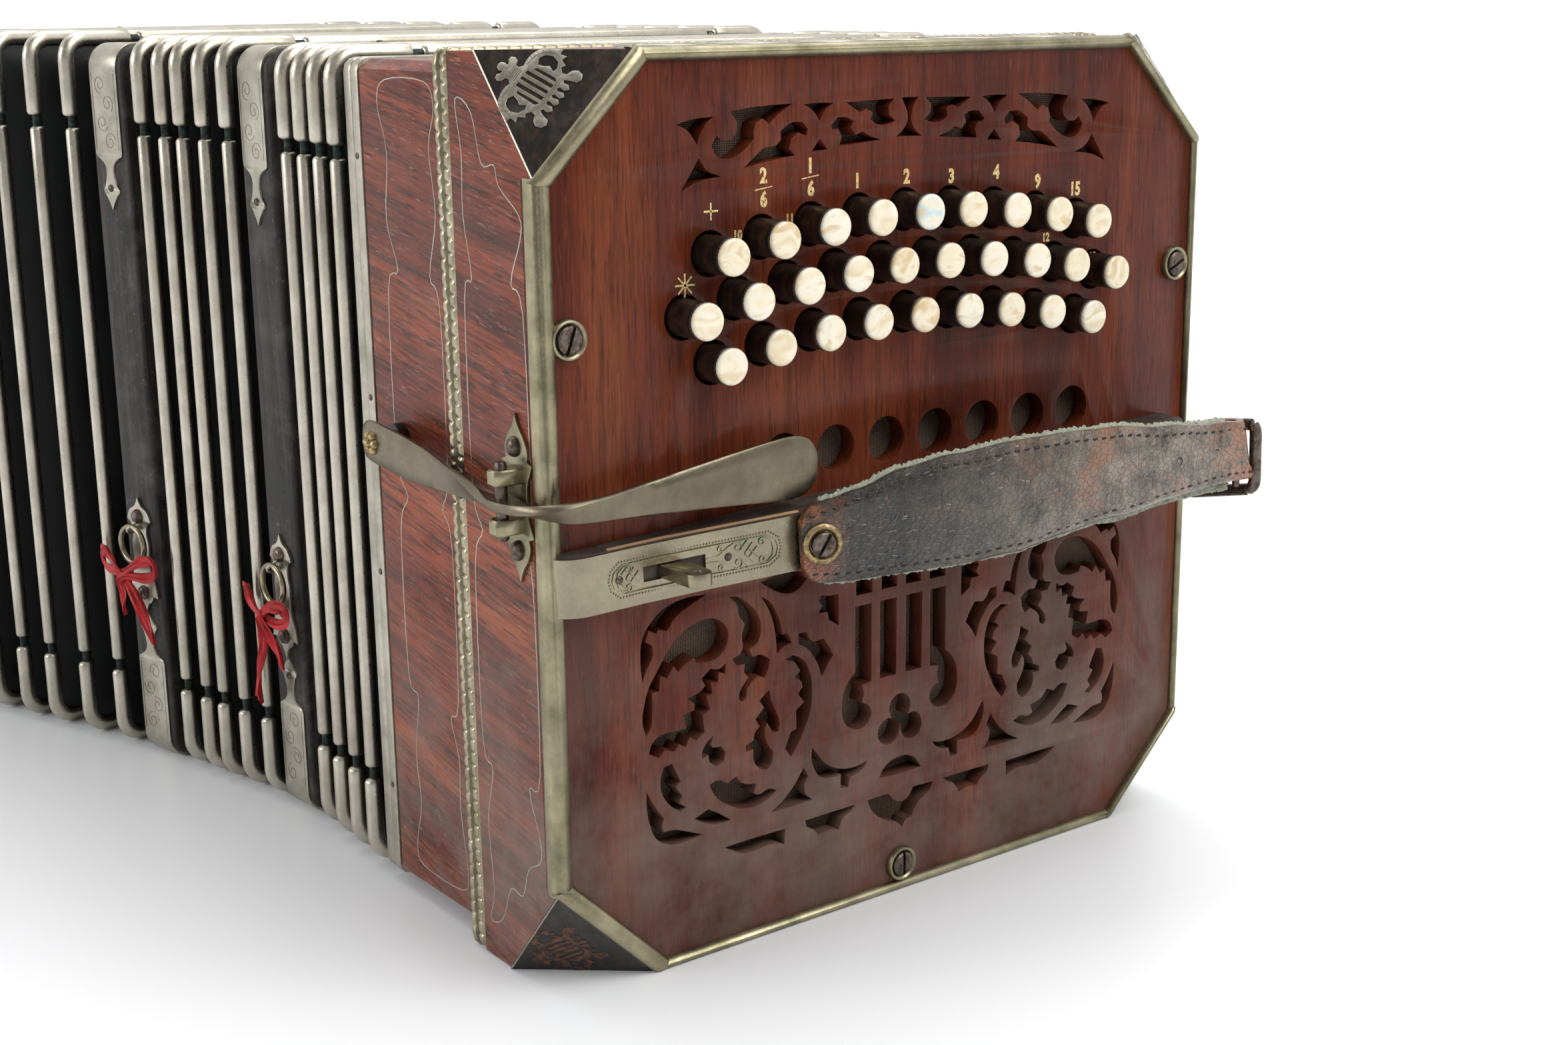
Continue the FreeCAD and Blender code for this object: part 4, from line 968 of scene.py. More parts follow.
def seam_moulding():
    """Embossed strip: a rope of barrel beads beside a flat rib with small nicks."""
    outline = Outline(HALF - 0.9, 0.9, HEIGHT - 0.9, 2.2)
    pitch = outline.length / round(outline.length / 3.5)
    back = -LID - SEAM

    def section(length):
        bead = abs(math.sin(math.pi * length / pitch)) ** 0.3
        nick = 1 - 0.6 * math.exp(-((length / pitch % 1 - 0.5) / 0.10) ** 2)
        points = [(back, -3.0), (back, 0.0)]
        for i in range(7):
            across = -1 + i / 3
            rise = math.sqrt(max(0.0, 1 - across * across))
            points.append((back + 1.9 + 1.5 * across, 0.05 + 1.35 * rise * (0.35 + 0.65 * bead)))
        for x, rise in ((3.8, -0.25), (4.15, 0.75), (4.7, 0.95), (5.6, 0.95), (6.2, 0.75), (6.5, 0.1)):
            points.append((back + x, 0.05 + rise * (nick if 4 < x < 6.4 else 1)))
        points += [(back + 7.0, 0.0), (back + 7.0, -3.0)]
        return points

    points, faces = sweep_round(outline, section, 0.42)
    count = len(section(0.0))
    shape = Shape().add(points, faces)
    # The groove between the bead rope and the rib takes the dark nickel: painted shade in the recess.
    for k in range(len(faces)):
        if k % count in (7, 8, 9):
            shape.paints[k] = 1
    return shape


def end_strip():
    """Two flat fillets round the bellows' end frame, with small nails."""
    outline = Outline(FRAME_HALF - 0.2, CASE_STEP + 0.2, HEIGHT - CASE_STEP - 0.2, 3.0)
    x0 = END_FRAME[0]
    profile = [
        (0, -1.2), (0, 0.25), (0.4, 0.55), (3.3, 0.6), (3.8, 0.35), (4.1, 0.0), (4.5, 0.0), (4.8, 0.4),
        (5.2, 0.75), (7.7, 0.75), (8.2, 0.5), (8.5, -1.2),
    ]
    shape = Shape().add(*sweep_round(outline, lambda _: [(x0 + x, h) for x, h in profile], 30.0))
    for side in (-1, 1):
        at = plane((0, side * (FRAME_HALF + 0.5), 0), (-side, 0, 0), (0, 0, 1))
        for z in (31, 95, 145, 211):
            shape.add(
                *dome(1.0, 0.5, 10, 3), paint=1, matrix=at @ Matrix.Translation((-side * (x0 + 6.4), z, 0))
            )
    for y in (-78, -26, 26, 78):
        at = Matrix.Translation((x0 + 6.4, y, HEIGHT - CASE_STEP + 0.5))
        shape.add(*dome(1.0, 0.5, 10, 3), paint=1, matrix=at)
    return shape


def nickel_bands(end):
    end.make(
        "seam_moulding", seam_moulding(), [MOULDING, NICKEL_DARK], "nickel_silver", "nickel_bands", sharp=50
    )
    end.make("bellows_end_strip", end_strip(), [NICKEL, STEEL], "nickel_silver")
    loops = []
    half, low = FRAME_HALF - 1.0, CASE_STEP + 1.0
    for x, grow in ((END_FRAME[0], 0), (CASE_BACK, 0), (CASE_BACK, 21), (END_FRAME[0], 21)):
        outline = Outline(half - grow, low + grow, HEIGHT - low - grow, 2.0)
        loops.append([(x, *p) for p in outline.ring(80)])
    wood = Shape().add(*rings(loops, closed_path=True))
    end.make("bellows_end_frame", wood, [BLACK_WOOD], "black_wood")


def top_discs(end):
    """Turned discs let into the top of the case, with a raised rim and a small boss."""
    profile = [
        (12.0, -1.5), (12.0, 0.6), (11.6, 1.0), (10.6, 1.0), (10.1, 0.55), (9.0, 0.45), (5.2, 0.75),
        (4.8, 1.0), (2.0, 1.25), (0.05, 1.3),
    ]
    shape = Shape()
    for i in range(6):
        at = Matrix.Translation((-20.0, -64.5 + i * 26.2, HEIGHT - TRIM))
        shape.add(*turned(profile, 40), matrix=at)
    end.make("top_discs", shape, [NICKEL], "nickel_silver", sharp=50)


def edging(end):
    """Rounded metal strips along the eight edges of the face, mitred and lapped at their ends."""
    corners = octagon(HALF + 0.1, -0.1, HEIGHT + 0.1, CORNER)
    widths = (2.7, 1.9, 1.9, 2.8, 3.3, 5.0, 5.2, 5.0)
    count = len(corners)
    lines = []
    for i in range(count):
        a = Vector(corners[i])
        way = (Vector(corners[(i + 1) % count]) - a).normalized()
        inward = Vector((-way.y, way.x))
        lines.append((a + inward * widths[i], way))
    inner = []
    for i in range(count):
        (p, v), (q, w) = lines[i - 1], lines[i]
        cross = v.x * w.y - v.y * w.x
        t = ((q.x - p.x) * w.y - (q.y - p.y) * w.x) / cross
        inner.append(p + v * t)
    straight = [(0.0, -3.6), (-0.07, -3.3), (-0.10, -0.9), (0.0, 0.4), (0.13, 1.1), (0.34, 1.55), (0.58, 1.5),
                (0.82, 1.0), (0.95, 0.3), (1.0, -0.4)]
    slanted = [(0.10, -2.2), (0.0, -0.9), (0.0, 0.3), (0.12, 1.3), (0.34, 1.95), (0.6, 1.95), (0.84, 1.3),
               (0.96, 0.5), (1.0, -0.4)]
    shape = Shape()
    for i in range(count):
        j = (i + 1) % count
        chamfer = i % 2 == 1
        lift = 0.25 if chamfer else 0.0
        lap = 1.2 if chamfer else 0.0
        way = (Vector(corners[j]) - Vector(corners[i])).normalized()
        loops = []
        for k, push in ((i, -lap), (i, 0.6), (j, -0.6), (j, lap)):
            edge = 0.55 if push in (-lap, lap) else 1.0
            outer = Vector(corners[k]) + way * push
            inside = inner[k] + way * push
            section = slanted if chamfer else straight
            loops.append([
                (h * edge + lift - 0.2 if h > 0 else h - 0.2, *(outer + (inside - outer) * t))
                for t, h in section
            ])
        shape.add(*rings(loops))
    end.make("face_edging", shape, [NICKEL_EDGE], "nickel_silver", "edge_trim", sharp=40)


# Half of the lyre inlay, right of its middle line: (across, along), from the tip of its crown.
LYRE = [
    (0, 0), (0.9, 0.3), (1.2, 1.2), (1.0, 2.0), (1.7, 1.9), (2.4, 1.3), (3.4, 1.5), (3.8, 2.5), (3.3, 3.4),
    (2.2, 3.7), (2.0, 4.6), (2.9, 5.4), (4.6, 5.1), (7.0, 5.4), (9.2, 6.7), (10.5, 8.8), (11.5, 10.9),
    (10.2, 11.1), (10.5, 12.9), (9.1, 12.3), (8.3, 14.0), (7.4, 13.4), (6.2, 14.4), (6.5, 15.6),
    (8.0, 16.2), (8.8, 17.4), (8.5, 18.8), (7.2, 19.5), (5.9, 18.9), (5.6, 17.5), (4.8, 15.9), (4.2, 16.3),
    (4.35, 17.7), (3.4, 18.5), (2.5, 17.7), (2.7, 16.3), (2.0, 15.8), (1.6, 16.4), (2.0, 17.9), (1.1, 18.7),
    (0.2, 17.9), (0.5, 16.4), (0, 15.8),
]
LYRE_HOLES = [
    [(5.0, 8.2), (6.4, 7.4), (8.0, 8.2), (8.8, 10.0), (8.2, 11.8), (6.6, 12.7), (5.4, 12.3), (6.2, 10.8),
     (5.4, 9.6)],
    [(1.45, 7.0), (2.45, 7.0), (2.45, 14.6), (1.45, 14.6)],
    [(3.4, 8.0), (4.1, 8.6), (4.3, 13.9), (3.4, 14.6)],
]
LYRE_GAP = [(-0.42, 6.8), (0.42, 6.8), (0.42, 14.6), (-0.42, 14.6)]


def lyre(thick):
    outline = LYRE + [(-x, y) for x, y in reversed(LYRE[1:-1])]
    holes = LYRE_HOLES + [[(-x, y) for x, y in reversed(loop)] for loop in LYRE_HOLES]
    return cut_plate([outline, LYRE_GAP] + holes, thick, 0.08, 3)


def corner_plates(end):
    """Black triangular plates with metal lyres let in; the lower front one has lost its lyre."""
    plates = Shape()
    metal = Shape()
    for side in (-1, 1):
        for top in (False, True):
            corners, normal = facet(side, top, 0.9)
            centre = (corners[0] + corners[1] + corners[2]) / 3
            grown = [centre + (c - centre) * 0.995 for c in corners]
            plates.add(*rings([grown, [c + normal * 0.85 for c in grown]]))
            ends = [centre + (corners[k] - centre) * 0.985 + normal * 0.85 for k in (1, 2)]
            metal.add(*bar(ends, 0.22, 6))
            middle = (corners[0] + corners[1]) / 2
            up = (middle - corners[2]).normalized()
            at = plane(corners[2] + up * 7.9 + normal * 0.95, up.cross(normal), up)
            if side < 0 and not top:
                rough, faces = lyre(0.5)
                rough = [
                    p + Vector((random.uniform(-0.12, 0.12), random.uniform(-0.12, 0.12), 0)) for p in rough
                ]
                plates.add(rough, faces, 1, at)
                continue
            raised = at @ Matrix.Translation((0, 0, 0.22))
            metal.add(*lyre(0.6), matrix=raised)
            for y in (4.3, 4.8, 5.3, 5.8, 14.95, 15.45):
                half = 1.7 if y < 6 else 5.0
                metal.add(*line_on_plane([(-half, y), (half, y)], 0.16, 0.05), paint=1, matrix=raised)
            for way in (-1, 1):
                vein = smooth([(way * 3.6, 5.9), (way * 6.8, 6.3), (way * 9.0, 8.0), (way * 9.7, 10.2)], 4)
                metal.add(*line_on_plane(vein, 0.2, 0.05), paint=1, matrix=raised)
                for i in range(5):
                    spot = Vector((way * (5.6 + i * 1.0), 6.0 + 0.16 * i * i))
                    hatch = [tuple(spot), tuple(spot + Vector((way * 0.25, -0.7)))]
                    metal.add(*line_on_plane(hatch, 0.16, 0.05), paint=1, matrix=raised)
    end.make("corner_plates", plates, [EBONY, OLD_INLAY], "ebonised", "corner_plates", sharp=30)
    end.make("lyre_inlays", metal, [NICKEL, NICKEL_DARK], "nickel_silver", sharp=30)


def slotted_head(radius, height, slot=0.8):
    """A screw head with a real slot: two half discs with a gap between them, on a base."""
    shape = Shape().add(*turned([(radius, -0.5), (radius, height * 0.35), (0.05, height * 0.35)], 24))
    for side in (-1, 1):
        outline = []
        for i in range(13):
            angle = math.pi * i / 12
            outline.append((radius * math.cos(angle), side * max(slot / 2, radius * math.sin(angle))))
        top = [(x * 0.86, y * 0.86 if abs(y) > slot / 2 else y) for x, y in outline]
        loops = [
            [(x, y, height * 0.3) for x, y in outline], [(x, y, height * 0.75) for x, y in outline],
            [(x, y, height) for x, y in top]
        ]
        shape.add(*rings(loops))
    return shape


def face_screws(end):
    cup = [
        (5.2, -0.6), (5.2, 0.5), (4.9, 1.1), (4.4, 1.3), (4.1, 1.1), (3.6, 0.5), (3.2, 0.2), (0.05, 0.2),
    ]
    shape = Shape()
    for turn, (y, z) in zip((70, 25, 90), SCREWS):
        at = FACE_PLANE @ Matrix.Translation((y, z, 0)) @ Matrix.Rotation(math.radians(turn), 4, "Z")
        shape.add(*turned(cup, 32), matrix=at)
        shape.join(slotted_head(3.5, 1.7, 0.9), at, 1)
    end.make("face_screws", shape, [NICKEL_EDGE, STEEL], "steel", "face_screws", sharp=40)


# Wire inlays on the sides of the case: (x, z), the inner one on the reed case, the outer on the lid.
INNER_WIRE = [
    (-77.6, 231.5), (-56.6, 231.5), (-52.1, 225), (-55.6, 215), (-53.6, 198), (-58.1, 182), (-53.6, 174),
    (-53.6, 130), (-57.1, 120), (-53.1, 111), (-53.6, 67), (-58.1, 61), (-54.6, 50), (-55.1, 35),
    (-52.4, 17), (-56.6, 11), (-78.6, 11), (-81.6, 17), (-78.1, 30), (-79.6, 45), (-76.6, 62), (-81.6, 68),
    (-81.6, 110), (-76.6, 120), (-81.6, 130), (-81.6, 176), (-75.6, 182), (-80.6, 195), (-78.6, 213),
    (-82.6, 225.5),
]
OUTER_WIRE = [
    (-35.5, 228), (-33.5, 215), (-34, 200), (-31, 184.5), (-35, 179), (-35, 130), (-31, 120), (-35.5, 110),
    (-35.5, 62), (-31, 55), (-34.5, 40), (-33, 20), (-35.5, 11), (-29, 13), (-24, 23.5), (-18, 23.5),
    (-14.5, 32), (-8.5, 36), (-8, 42), (-12.5, 55), (-7, 60), (-7, 110), (-10, 120), (-6.5, 130), (-7, 178),
    (-12, 185), (-7, 196), (-7, 201.5), (-16, 208), (-18, 213), (-24, 213), (-28, 225),
]


def wire_inlays(end):
    shape = Shape()
    for side in (-1, 1):
        for points, out in ((INNER_WIRE, CASE_HALF), (OUTER_WIRE, HALF - TRIM)):
            at = plane((0, side * out, 0), (-side, 0, 0), (0, 0, 1))
            flat = [(x, z) if side < 0 else (-x, z) for x, z in points]
            path = smooth(flat, 4, True)
            shape.add(*line_on_plane(path, 0.5, 0.06, True), matrix=at)
    end.make("wire_inlays", shape, [NICKEL], "nickel_silver", sharp=60)


def number(text, place, size):
    """Stamped figures, as a thin raised mesh in the plane of the face."""
    curve = bpy.data.curves.new("figures", "FONT")
    curve.body = text
    curve.size = size
    curve.align_x = "CENTER"
    curve.align_y = "CENTER"
    curve.extrude = 0.05
    curve.offset = 0.045 * size
    curve.resolution_u = 3
    mesh = mesh_from(curve)
    points = [Vector((v.co.x * 0.85 + place[0], v.co.y + place[1], v.co.z)) for v in mesh.vertices]
    faces = [tuple(f.vertices) for f in mesh.polygons]
    bpy.data.meshes.remove(mesh)
    return points, faces


def figures(end):
    """Gilt figures above the buttons. They are generic numbers."""
    above = (
        ("2", -47.0, 207.6), ("6", -47.0, 201.6), ("1", -31.8, 209.3), ("6", -31.6, 203.4),
        ("1", -16.0, 204.5), ("2", 1.2, 204.7), ("3", 17.4, 203.9), ("4", 34.2, 204.1), ("9", 50.3, 200.6),
        ("15", 65.3, 197.6),
    )
    small = (("10", -55.4, 193.2), ("12", 54.0, 184.6), ("13", 73.3, 177.6), ("11", -38.6, 196.2))
    shape = Shape()
    for size, marks in ((5.2, above), (3.4, small)):
        for text, y, z in marks:
            shape.add(*number(text, (y, z), size), matrix=FACE_PLANE)
    for y, z in ((-47, 204.5), (-31.8, 206.5)):
        stroke = [(y - 2.8, z - 0.3), (y + 2.8, z + 0.4)]
        shape.add(*line_on_plane(stroke, 0.45, 0.05), matrix=FACE_PLANE)
    for i in range(4):
        angle = math.pi / 4 * i
        reach = Vector((math.cos(angle), math.sin(angle)))
        for centre, size in (((-63.6, 199.8), 2.2), ((-71.9, 182), 3.0)):
            if i % 2 and size < 3:
                continue
            ends = [tuple(Vector(centre) - reach * size), tuple(Vector(centre) + reach * size)]
            shape.add(*line_on_plane(ends, 0.7, 0.05), matrix=FACE_PLANE)
    shape.points = [p - Vector((TRIM, 0, 0)) for p in shape.points]
    end.make("gilt_figures", shape, [GILT], "nickel_silver", sharp=60)


def cloth_lining(end):
    """Brown cloth stretched behind the fretwork: a lower and an upper piece."""
    back = -TRIM - BOARD - 0.45
    upper = [(-77.5, 204), (78.5, 204), (78.5, 226), (-77.5, 226)]
    for part, outline in (("lower", octagon(97.5, 12.5, 143.5, 21)), ("upper", upper)):
        shape = Shape().add(*prism(outline, -0.2, 0.2), matrix=FACE_PLANE)
        shape.points = [p + Vector((back, 0, 0)) for p in shape.points]
        node = "cloth_lining" if end.name == "treble" else None
        end.make("lining_" + part, shape, [CLOTH], "lining_cloth", node, sharp=30)


# ---------------------------------------------------------------- hand rail
RAIL_SLOPE = (RAIL_HIGH - RAIL_LOW) / (RAIL_HIGH_Y - RAIL_START)
PLATE = 0.9               # thickness of the rail plate


def rail_surface(y):
    return min(RAIL_HIGH, RAIL_LOW + RAIL_SLOPE * (y - RAIL_START)) + 2.2 * max(0.0, (-85 - y) / 30)


def tilt():
    """The rail and strap rise away from the air lever."""
    pivot = Matrix.Translation((0, -112, RAIL_Z))
    return pivot @ Matrix.Rotation(math.radians(RAIL_TILT), 4, "X") @ pivot.inverted()


def hand_rail(end):
    """Wedge of dark wood with rounded edges, its top edge rubbed bare in places."""
    stations = [RAIL_ROUND - 6.9, -112.6, -111.5, -109, RAIL_ROUND, -100, *range(-92, -35, 8)]
    stations += [-27, -18, -8, 10, 30, 50, 70, 90, 99, 102.5, RAIL_END]
    loops = []
    for y in stations:
        top = rail_surface(y)
        if y < RAIL_ROUND:
            top *= math.sqrt(max(0.02, 1 - ((RAIL_ROUND - y) / 7.0) ** 2))
        if y > 98:
            top *= 1 - 0.28 * ((y - 98) / 6) ** 2
        half = RAIL_HALF_HEIGHT
        bend = min(1.3, top * 0.45)
        lower = [
            (-TRIM, -half), (top - bend, -half), (top - bend * 0.3, -half + bend * 0.3), (top, -half + bend)
        ]
        section = lower + [(x, -z) for x, z in reversed(lower)]
        loops.append([(x, y, RAIL_Z + z) for x, z in section])
    shape = Shape().add(*rings(loops), matrix=tilt())
    rubbed_side = 5
    for ring, y in enumerate(stations[:-1]):
        if -104 < y < -48:
            shape.paints[ring * 8 + rubbed_side] = 1
    end.make("hand_rail_wood", shape, [RAIL_WOOD, BARE_WOOD], "dark_wood", "hand_rail", sharp=40)


def rail_point(y, up, out):
    """A point on the rail plate: y along the rail, up from its middle line, out of its surface."""
    x = rail_surface(max(y, RAIL_ROUND)) + 0.1
    normal = Vector((1, -RAIL_SLOPE, 0)).normalized()
    if y < RAIL_ROUND:
        angle = min(1.0, (RAIL_ROUND - y) / 9.0) * math.pi / 2
        x = -TRIM + (x + TRIM) * math.cos(angle)
        y = RAIL_ROUND - 7.2 * math.sin(angle)
        normal = Vector((math.cos(angle), -math.sin(angle), 0))
    return tilt() @ (Vector((x, y, RAIL_Z + up)) + normal * out)


def on_rail(drawing, y=0.0, up=0.0):
    """Lays a flat drawing on the rail plate, about a place on it."""
    points, faces = drawing
    return [rail_point(p[0] + y, p[1] + up, p[2] + PLATE) for p in points], faces


def rail_plate(end):
    """Engraved sheet metal wrapped round the low end of the rail, with a beaded cartouche."""
    half = RAIL_HALF_HEIGHT - 0.6
    stations = [-115, -113.8, -112.6, -111.4, -110.2, -109, -107.5, RAIL_ROUND, -102, -96]
    stations += [*SLOT_Y, -68, -60, -52, RAIL_PLATE_END]
    ups = [-half, -2.0, 2.0, half]
    points = [rail_point(y, up, out) for out in (PLATE, 0.0) for y in stations for up in ups]
    rows = len(stations)
    faces = []
    slot_row = stations.index(SLOT_Y[0])
    for layer in range(2):
        base = layer * rows * 4
        for i in range(rows - 1):
            for j in range(3):
                if i == slot_row and j == 1:
                    continue
                a = base + i * 4 + j
                faces.append((a, a + 1, a + 5, a + 4))
    under = rows * 4
    border = [i * 4 for i in range(rows)] + [(rows - 1) * 4 + j for j in (1, 2, 3)]
    border += [i * 4 + 3 for i in range(rows - 2, -1, -1)] + [2, 1]
    slot = [slot_row * 4 + 1, slot_row * 4 + 5, slot_row * 4 + 6, slot_row * 4 + 2]
    for loop in (border, slot):
        for a, b in zip(loop, loop[1:] + loop[:1]):
            faces.append((a, b, b + under, a + under))
    shape = Shape().add(points, faces)
    frame_line = [(-101, 0), (-100.3, 2.6), (-97.8, 4.6), (-54.2, 4.6), (-51.4, 2.6), (-50.8, 0)]
    loop = frame_line + [(y, -up) for y, up in reversed(frame_line[1:-1])]
    walk = [Vector(p) for p in loop + loop[:1]]
    for a, b in zip(walk, walk[1:]):
        count = max(1, round((b - a).length / 0.9))
        for i in range(count):
            shape.add(*on_rail(dome(0.36, 0.34, 6, 2, 0.1), *(a + (b - a) * i / count)))
    inset = 0.95
    lines = [[(y + (inset if y < -76 else -inset), up * 0.82) for y, up in loop]]
    for middle in (-93.6, -59.2):
        for shift in (-1.3, 0.0, 1.3):
            for way in (1, -1):
                foot = (middle - 2.4 + shift, way * (0.1 - shift * 0.9))
                lines.append([foot, (middle + shift, way * (2.6 - shift * 0.9))])
    for way, y in ((1, -98.6), (-1, -53.2)):
        for up in (-1, 1):
            start = math.pi * (0.7 if way > 0 else 0.3) * up
            curl = scroll((y + way * 3.2, up * 2.3), 1.2, 1.1, start, -up * way)
            lines.append([(y, 0), (y + way * 0.3, up * 1.8), (y + way * 1.6, up * 3.0)] + curl)
    for up in (-1, 1):
        lines.append(scroll((-63.6, up * 2.1), 1.5, 1.2, math.pi * 0.75 * up, -up))
        lines.append(scroll((-68.6, up * 2.4), 1.0, 1.1, math.pi * 0.3 * up, up))
        lines.append([(-72.6, up * 0.55), (-69.4, up * 0.7), (-66.8, up * 2.4), (-64.4, up * 3.5)])
    for i, line in enumerate(lines):
        shape.add(*on_rail(line_on_plane(line, 0.36, 0.30, i == 0, 0.05)), paint=2)
    for y in (-98.0, -66.4):
        shape.add(*on_rail(dome(1.15, 0.55, 14, 3, 0.2), y), paint=1)
    node = "rail_fittings" if end.name == "treble" else None
    end.make(
        "rail_plate_engraved", shape, [NICKEL_CLEAN, STEEL, NICKEL_RELIEF], "nickel_silver", node, sharp=35
    )


def strap_adjuster(end):
    """Bar that stands out through the slot, with a round drilled nose."""
    half, thick = 3.5, 3.4
    foot = -TRIM + 3.2
    nose = rail_surface(ADJUSTER_Y) + 1.1 + 15.0 - half
    outline = [(foot, -half)]
    for i in range(13):
        angle = -math.pi / 2 + math.pi * i / 12
        outline.append((nose + half * math.cos(angle), half * math.sin(angle)))
    outline.append((foot, half))
    hole = circle((nose, 0), 1.2, 14)
    at = tilt() @ Matrix.Translation((0, ADJUSTER_Y, RAIL_Z + thick / 2))
    shape = Shape().add(*cut_plate([outline, hole], thick, 0.3, 3), matrix=at)
    piece(
        "strap_adjuster_bar", shape, [NICKEL_CLEAN], "strap_adjuster", end.place, "steel",
        ("treble_strap_adjuster",), sharp=35
    )


# ---------------------------------------------------------------- hand strap
def strap_inner(y):
    """Inner face of the strap, out from the face plane."""
    share = (y - STRAP_LEFT) / (STRAP_RIGHT - STRAP_LEFT)
    chord = rail_surface(STRAP_LEFT) + STRAP_GAP + share * STRAP_CLIMB
    return chord + STRAP_BOW * math.sin(math.pi * max(0.0, min(1.0, share)))


# Height of the strap's two edges above and below the rail's middle line, along y.
STRAP_UPPER = (
    (-51, 9.2), (-46, 9.8), (-38, 11.4), (-31, 12.8), (-17, 16.1), (-2, 18.3), (14, 19.6), (30, 19.3),
    (48, 18.2), (67, 16.2), (88, 13.8), (100, 12.6),
)
STRAP_LOWER = (
    (-51, 9.2), (-46, 10.2), (-31, 11.5), (-17, 11.9), (-2, 12.2), (14, 11.0), (30, 9.2), (48, 6.9),
    (67, 5.0), (88, 4.3), (100, 4.7),
)


def strap_section(y):
    """(x of the inner face, upper half, lower half) along the strap, with its slight waves."""
    upper = eased(STRAP_UPPER, y) - 0.3 * math.sin(y * 0.11)
    lower = eased(STRAP_LOWER, y) + 0.3 * math.sin(y * 0.13)
    return strap_inner(y), upper, lower


def strap_surface(y, up, out):
    """A point on the strap: it is cupped, and it waves a little along its edges."""
    x, upper, lower = strap_section(y)
    share = up / (upper if up > 0 else lower)
    cup = STRAP_CUP * share * share * math.sin(math.pi * (y - STRAP_LEFT) / (STRAP_RIGHT - STRAP_LEFT))
    wave = STRAP_WAVE * share * math.sin(y * 0.19 + 1.0)
    slope = (strap_inner(y + 1) - strap_inner(y - 1)) / 2
    normal = Vector((1, -slope, 0)).normalized()
    return tilt() @ (Vector((x - cup + wave, y, RAIL_Z + up)) + normal * out)


def on_strap(y, up, height):
    """Place on the strap's outer side, with Z standing out of the leather."""
    out = (strap_surface(y, up, 4) - strap_surface(y, up, 2)).normalized()
    return Matrix.Translation(strap_surface(y, up, height)) @ out.to_track_quat("Z", "Y").to_matrix().to_4x4()


def strap_line():
    """Middle line of the leather as (x, y, outward x, outward y): along the strap and round the loop."""
    line = []
    for i in range(STRAP_STEPS + 1):
        y = LEATHER_START + (STRAP_RIGHT - LEATHER_START) * i / STRAP_STEPS
        line.append((strap_inner(y) + 1.5, y, 1.0, (strap_inner(y - 1) - strap_inner(y + 1)) / 2))
    x = strap_inner(STRAP_RIGHT)
    for i in range(1, 11):
        angle = math.pi * i / 10
        way = math.cos(angle), math.sin(angle)
        line.append((x - FOLD_R + 1.5 + FOLD_R * way[0], STRAP_RIGHT + FOLD_R * way[1], way[0], way[1]))
    for back in (3, 7, 12, 17):
        line.append((x + 1.5 - 2 * FOLD_R + 0.05 * back, STRAP_RIGHT - back, -1.0, 0.0))
    return line


def hand_strap(end):
    """Stitched leather, folded back over the loop at its far end."""
    across = 16
    loops = []
    for k, (x, y, out_x, out_y) in enumerate(strap_line()):
        _, upper, lower = strap_section(min(y, STRAP_RIGHT))
        rounded = 1.0
        if y < LEATHER_START + 4:
            rounded = 0.66 + 0.34 * math.sqrt(max(0.0, 1 - ((LEATHER_START + 4 - y) / 4) ** 2))
        out = Vector((out_x, out_y, 0)).normalized()
        share = (min(y, STRAP_RIGHT) - STRAP_LEFT) / (STRAP_RIGHT - STRAP_LEFT)
        bend = max(0.0, math.sin(math.pi * share)) if k <= STRAP_STEPS else 0.0
        ring = []
        for layer in (1, -1):
            row = []
            for j in range(across + 1):
                t = -1 + 2 * j / across
                edge = max(0.0, abs(t) - 0.88) / 0.12
                rise = (1.5 - 0.55 * edge ** 2) * layer
                if layer > 0:
                    rise += 0.14 * math.sin(y * 0.9 + 3 * t) * math.sin(y * 0.23)
                    rise -= 0.24 * math.exp(-((abs(t) - 0.85) / 0.035) ** 2)
                cup = STRAP_CUP * t * t * bend
                wave = STRAP_WAVE * t * math.sin(y * 0.19 + 1.0)
                up = (upper if t > 0 else lower) * t * rounded
                lean = -2.8 * t * max(0.0, min(1.0, (y - 84) / 14))
                row.append(tilt() @ (Vector((x - cup + wave, y + lean, RAIL_Z + up)) + out * rise))
            ring += row if layer > 0 else list(reversed(row))
        loops.append(ring)
    end.make(
        "strap_leather", Shape().add(*rings(loops)), [LEATHER[end.name]], "strap_leather", "hand_strap",
        sharp=60
    )


def strap_stitching(end):
    """Sunk stitches along both edges, and the punched holes near the loop."""
    shape = Shape()
    y = -44.0
    while y < 99:
        _, upper, lower = strap_section(y)
        for edge in (upper - 2.4, -(lower - 2.4)):
            a = strap_surface(y, edge, 2.86)
            b = strap_surface(y + 1.7, edge, 2.86)
            along = (b - a).normalized()
            out = (strap_surface(y, edge, 4) - strap_surface(y, edge, 2)).normalized()
            side = along.cross(out)
            loops = []
            for t, size in ((0, 0.2), (0.2, 0.42), (0.8, 0.42), (1, 0.2)):
                centre = a + (b - a) * t
                turns = (0, 1.05, 2.1, 3.14, 4.2, 5.2)
                loops.append([centre + (side * math.cos(k) + out * 0.6 * math.sin(k)) * size for k in turns])
            shape.add(*rings(loops))
        y += 3.1
    for y, up in ((70, 5.6), (85, 5.4), (93, 5.2)):
        punched = [(1.3, -0.4), (1.3, 0.06), (0.95, 0.10), (0.8, -0.02), (0.05, -0.02)]
        shape.add(*turned(punched, 16), matrix=on_strap(y, up, 2.9))
    end.make("strap_stitching", shape, [EBONY], "strap_leather", sharp=60)


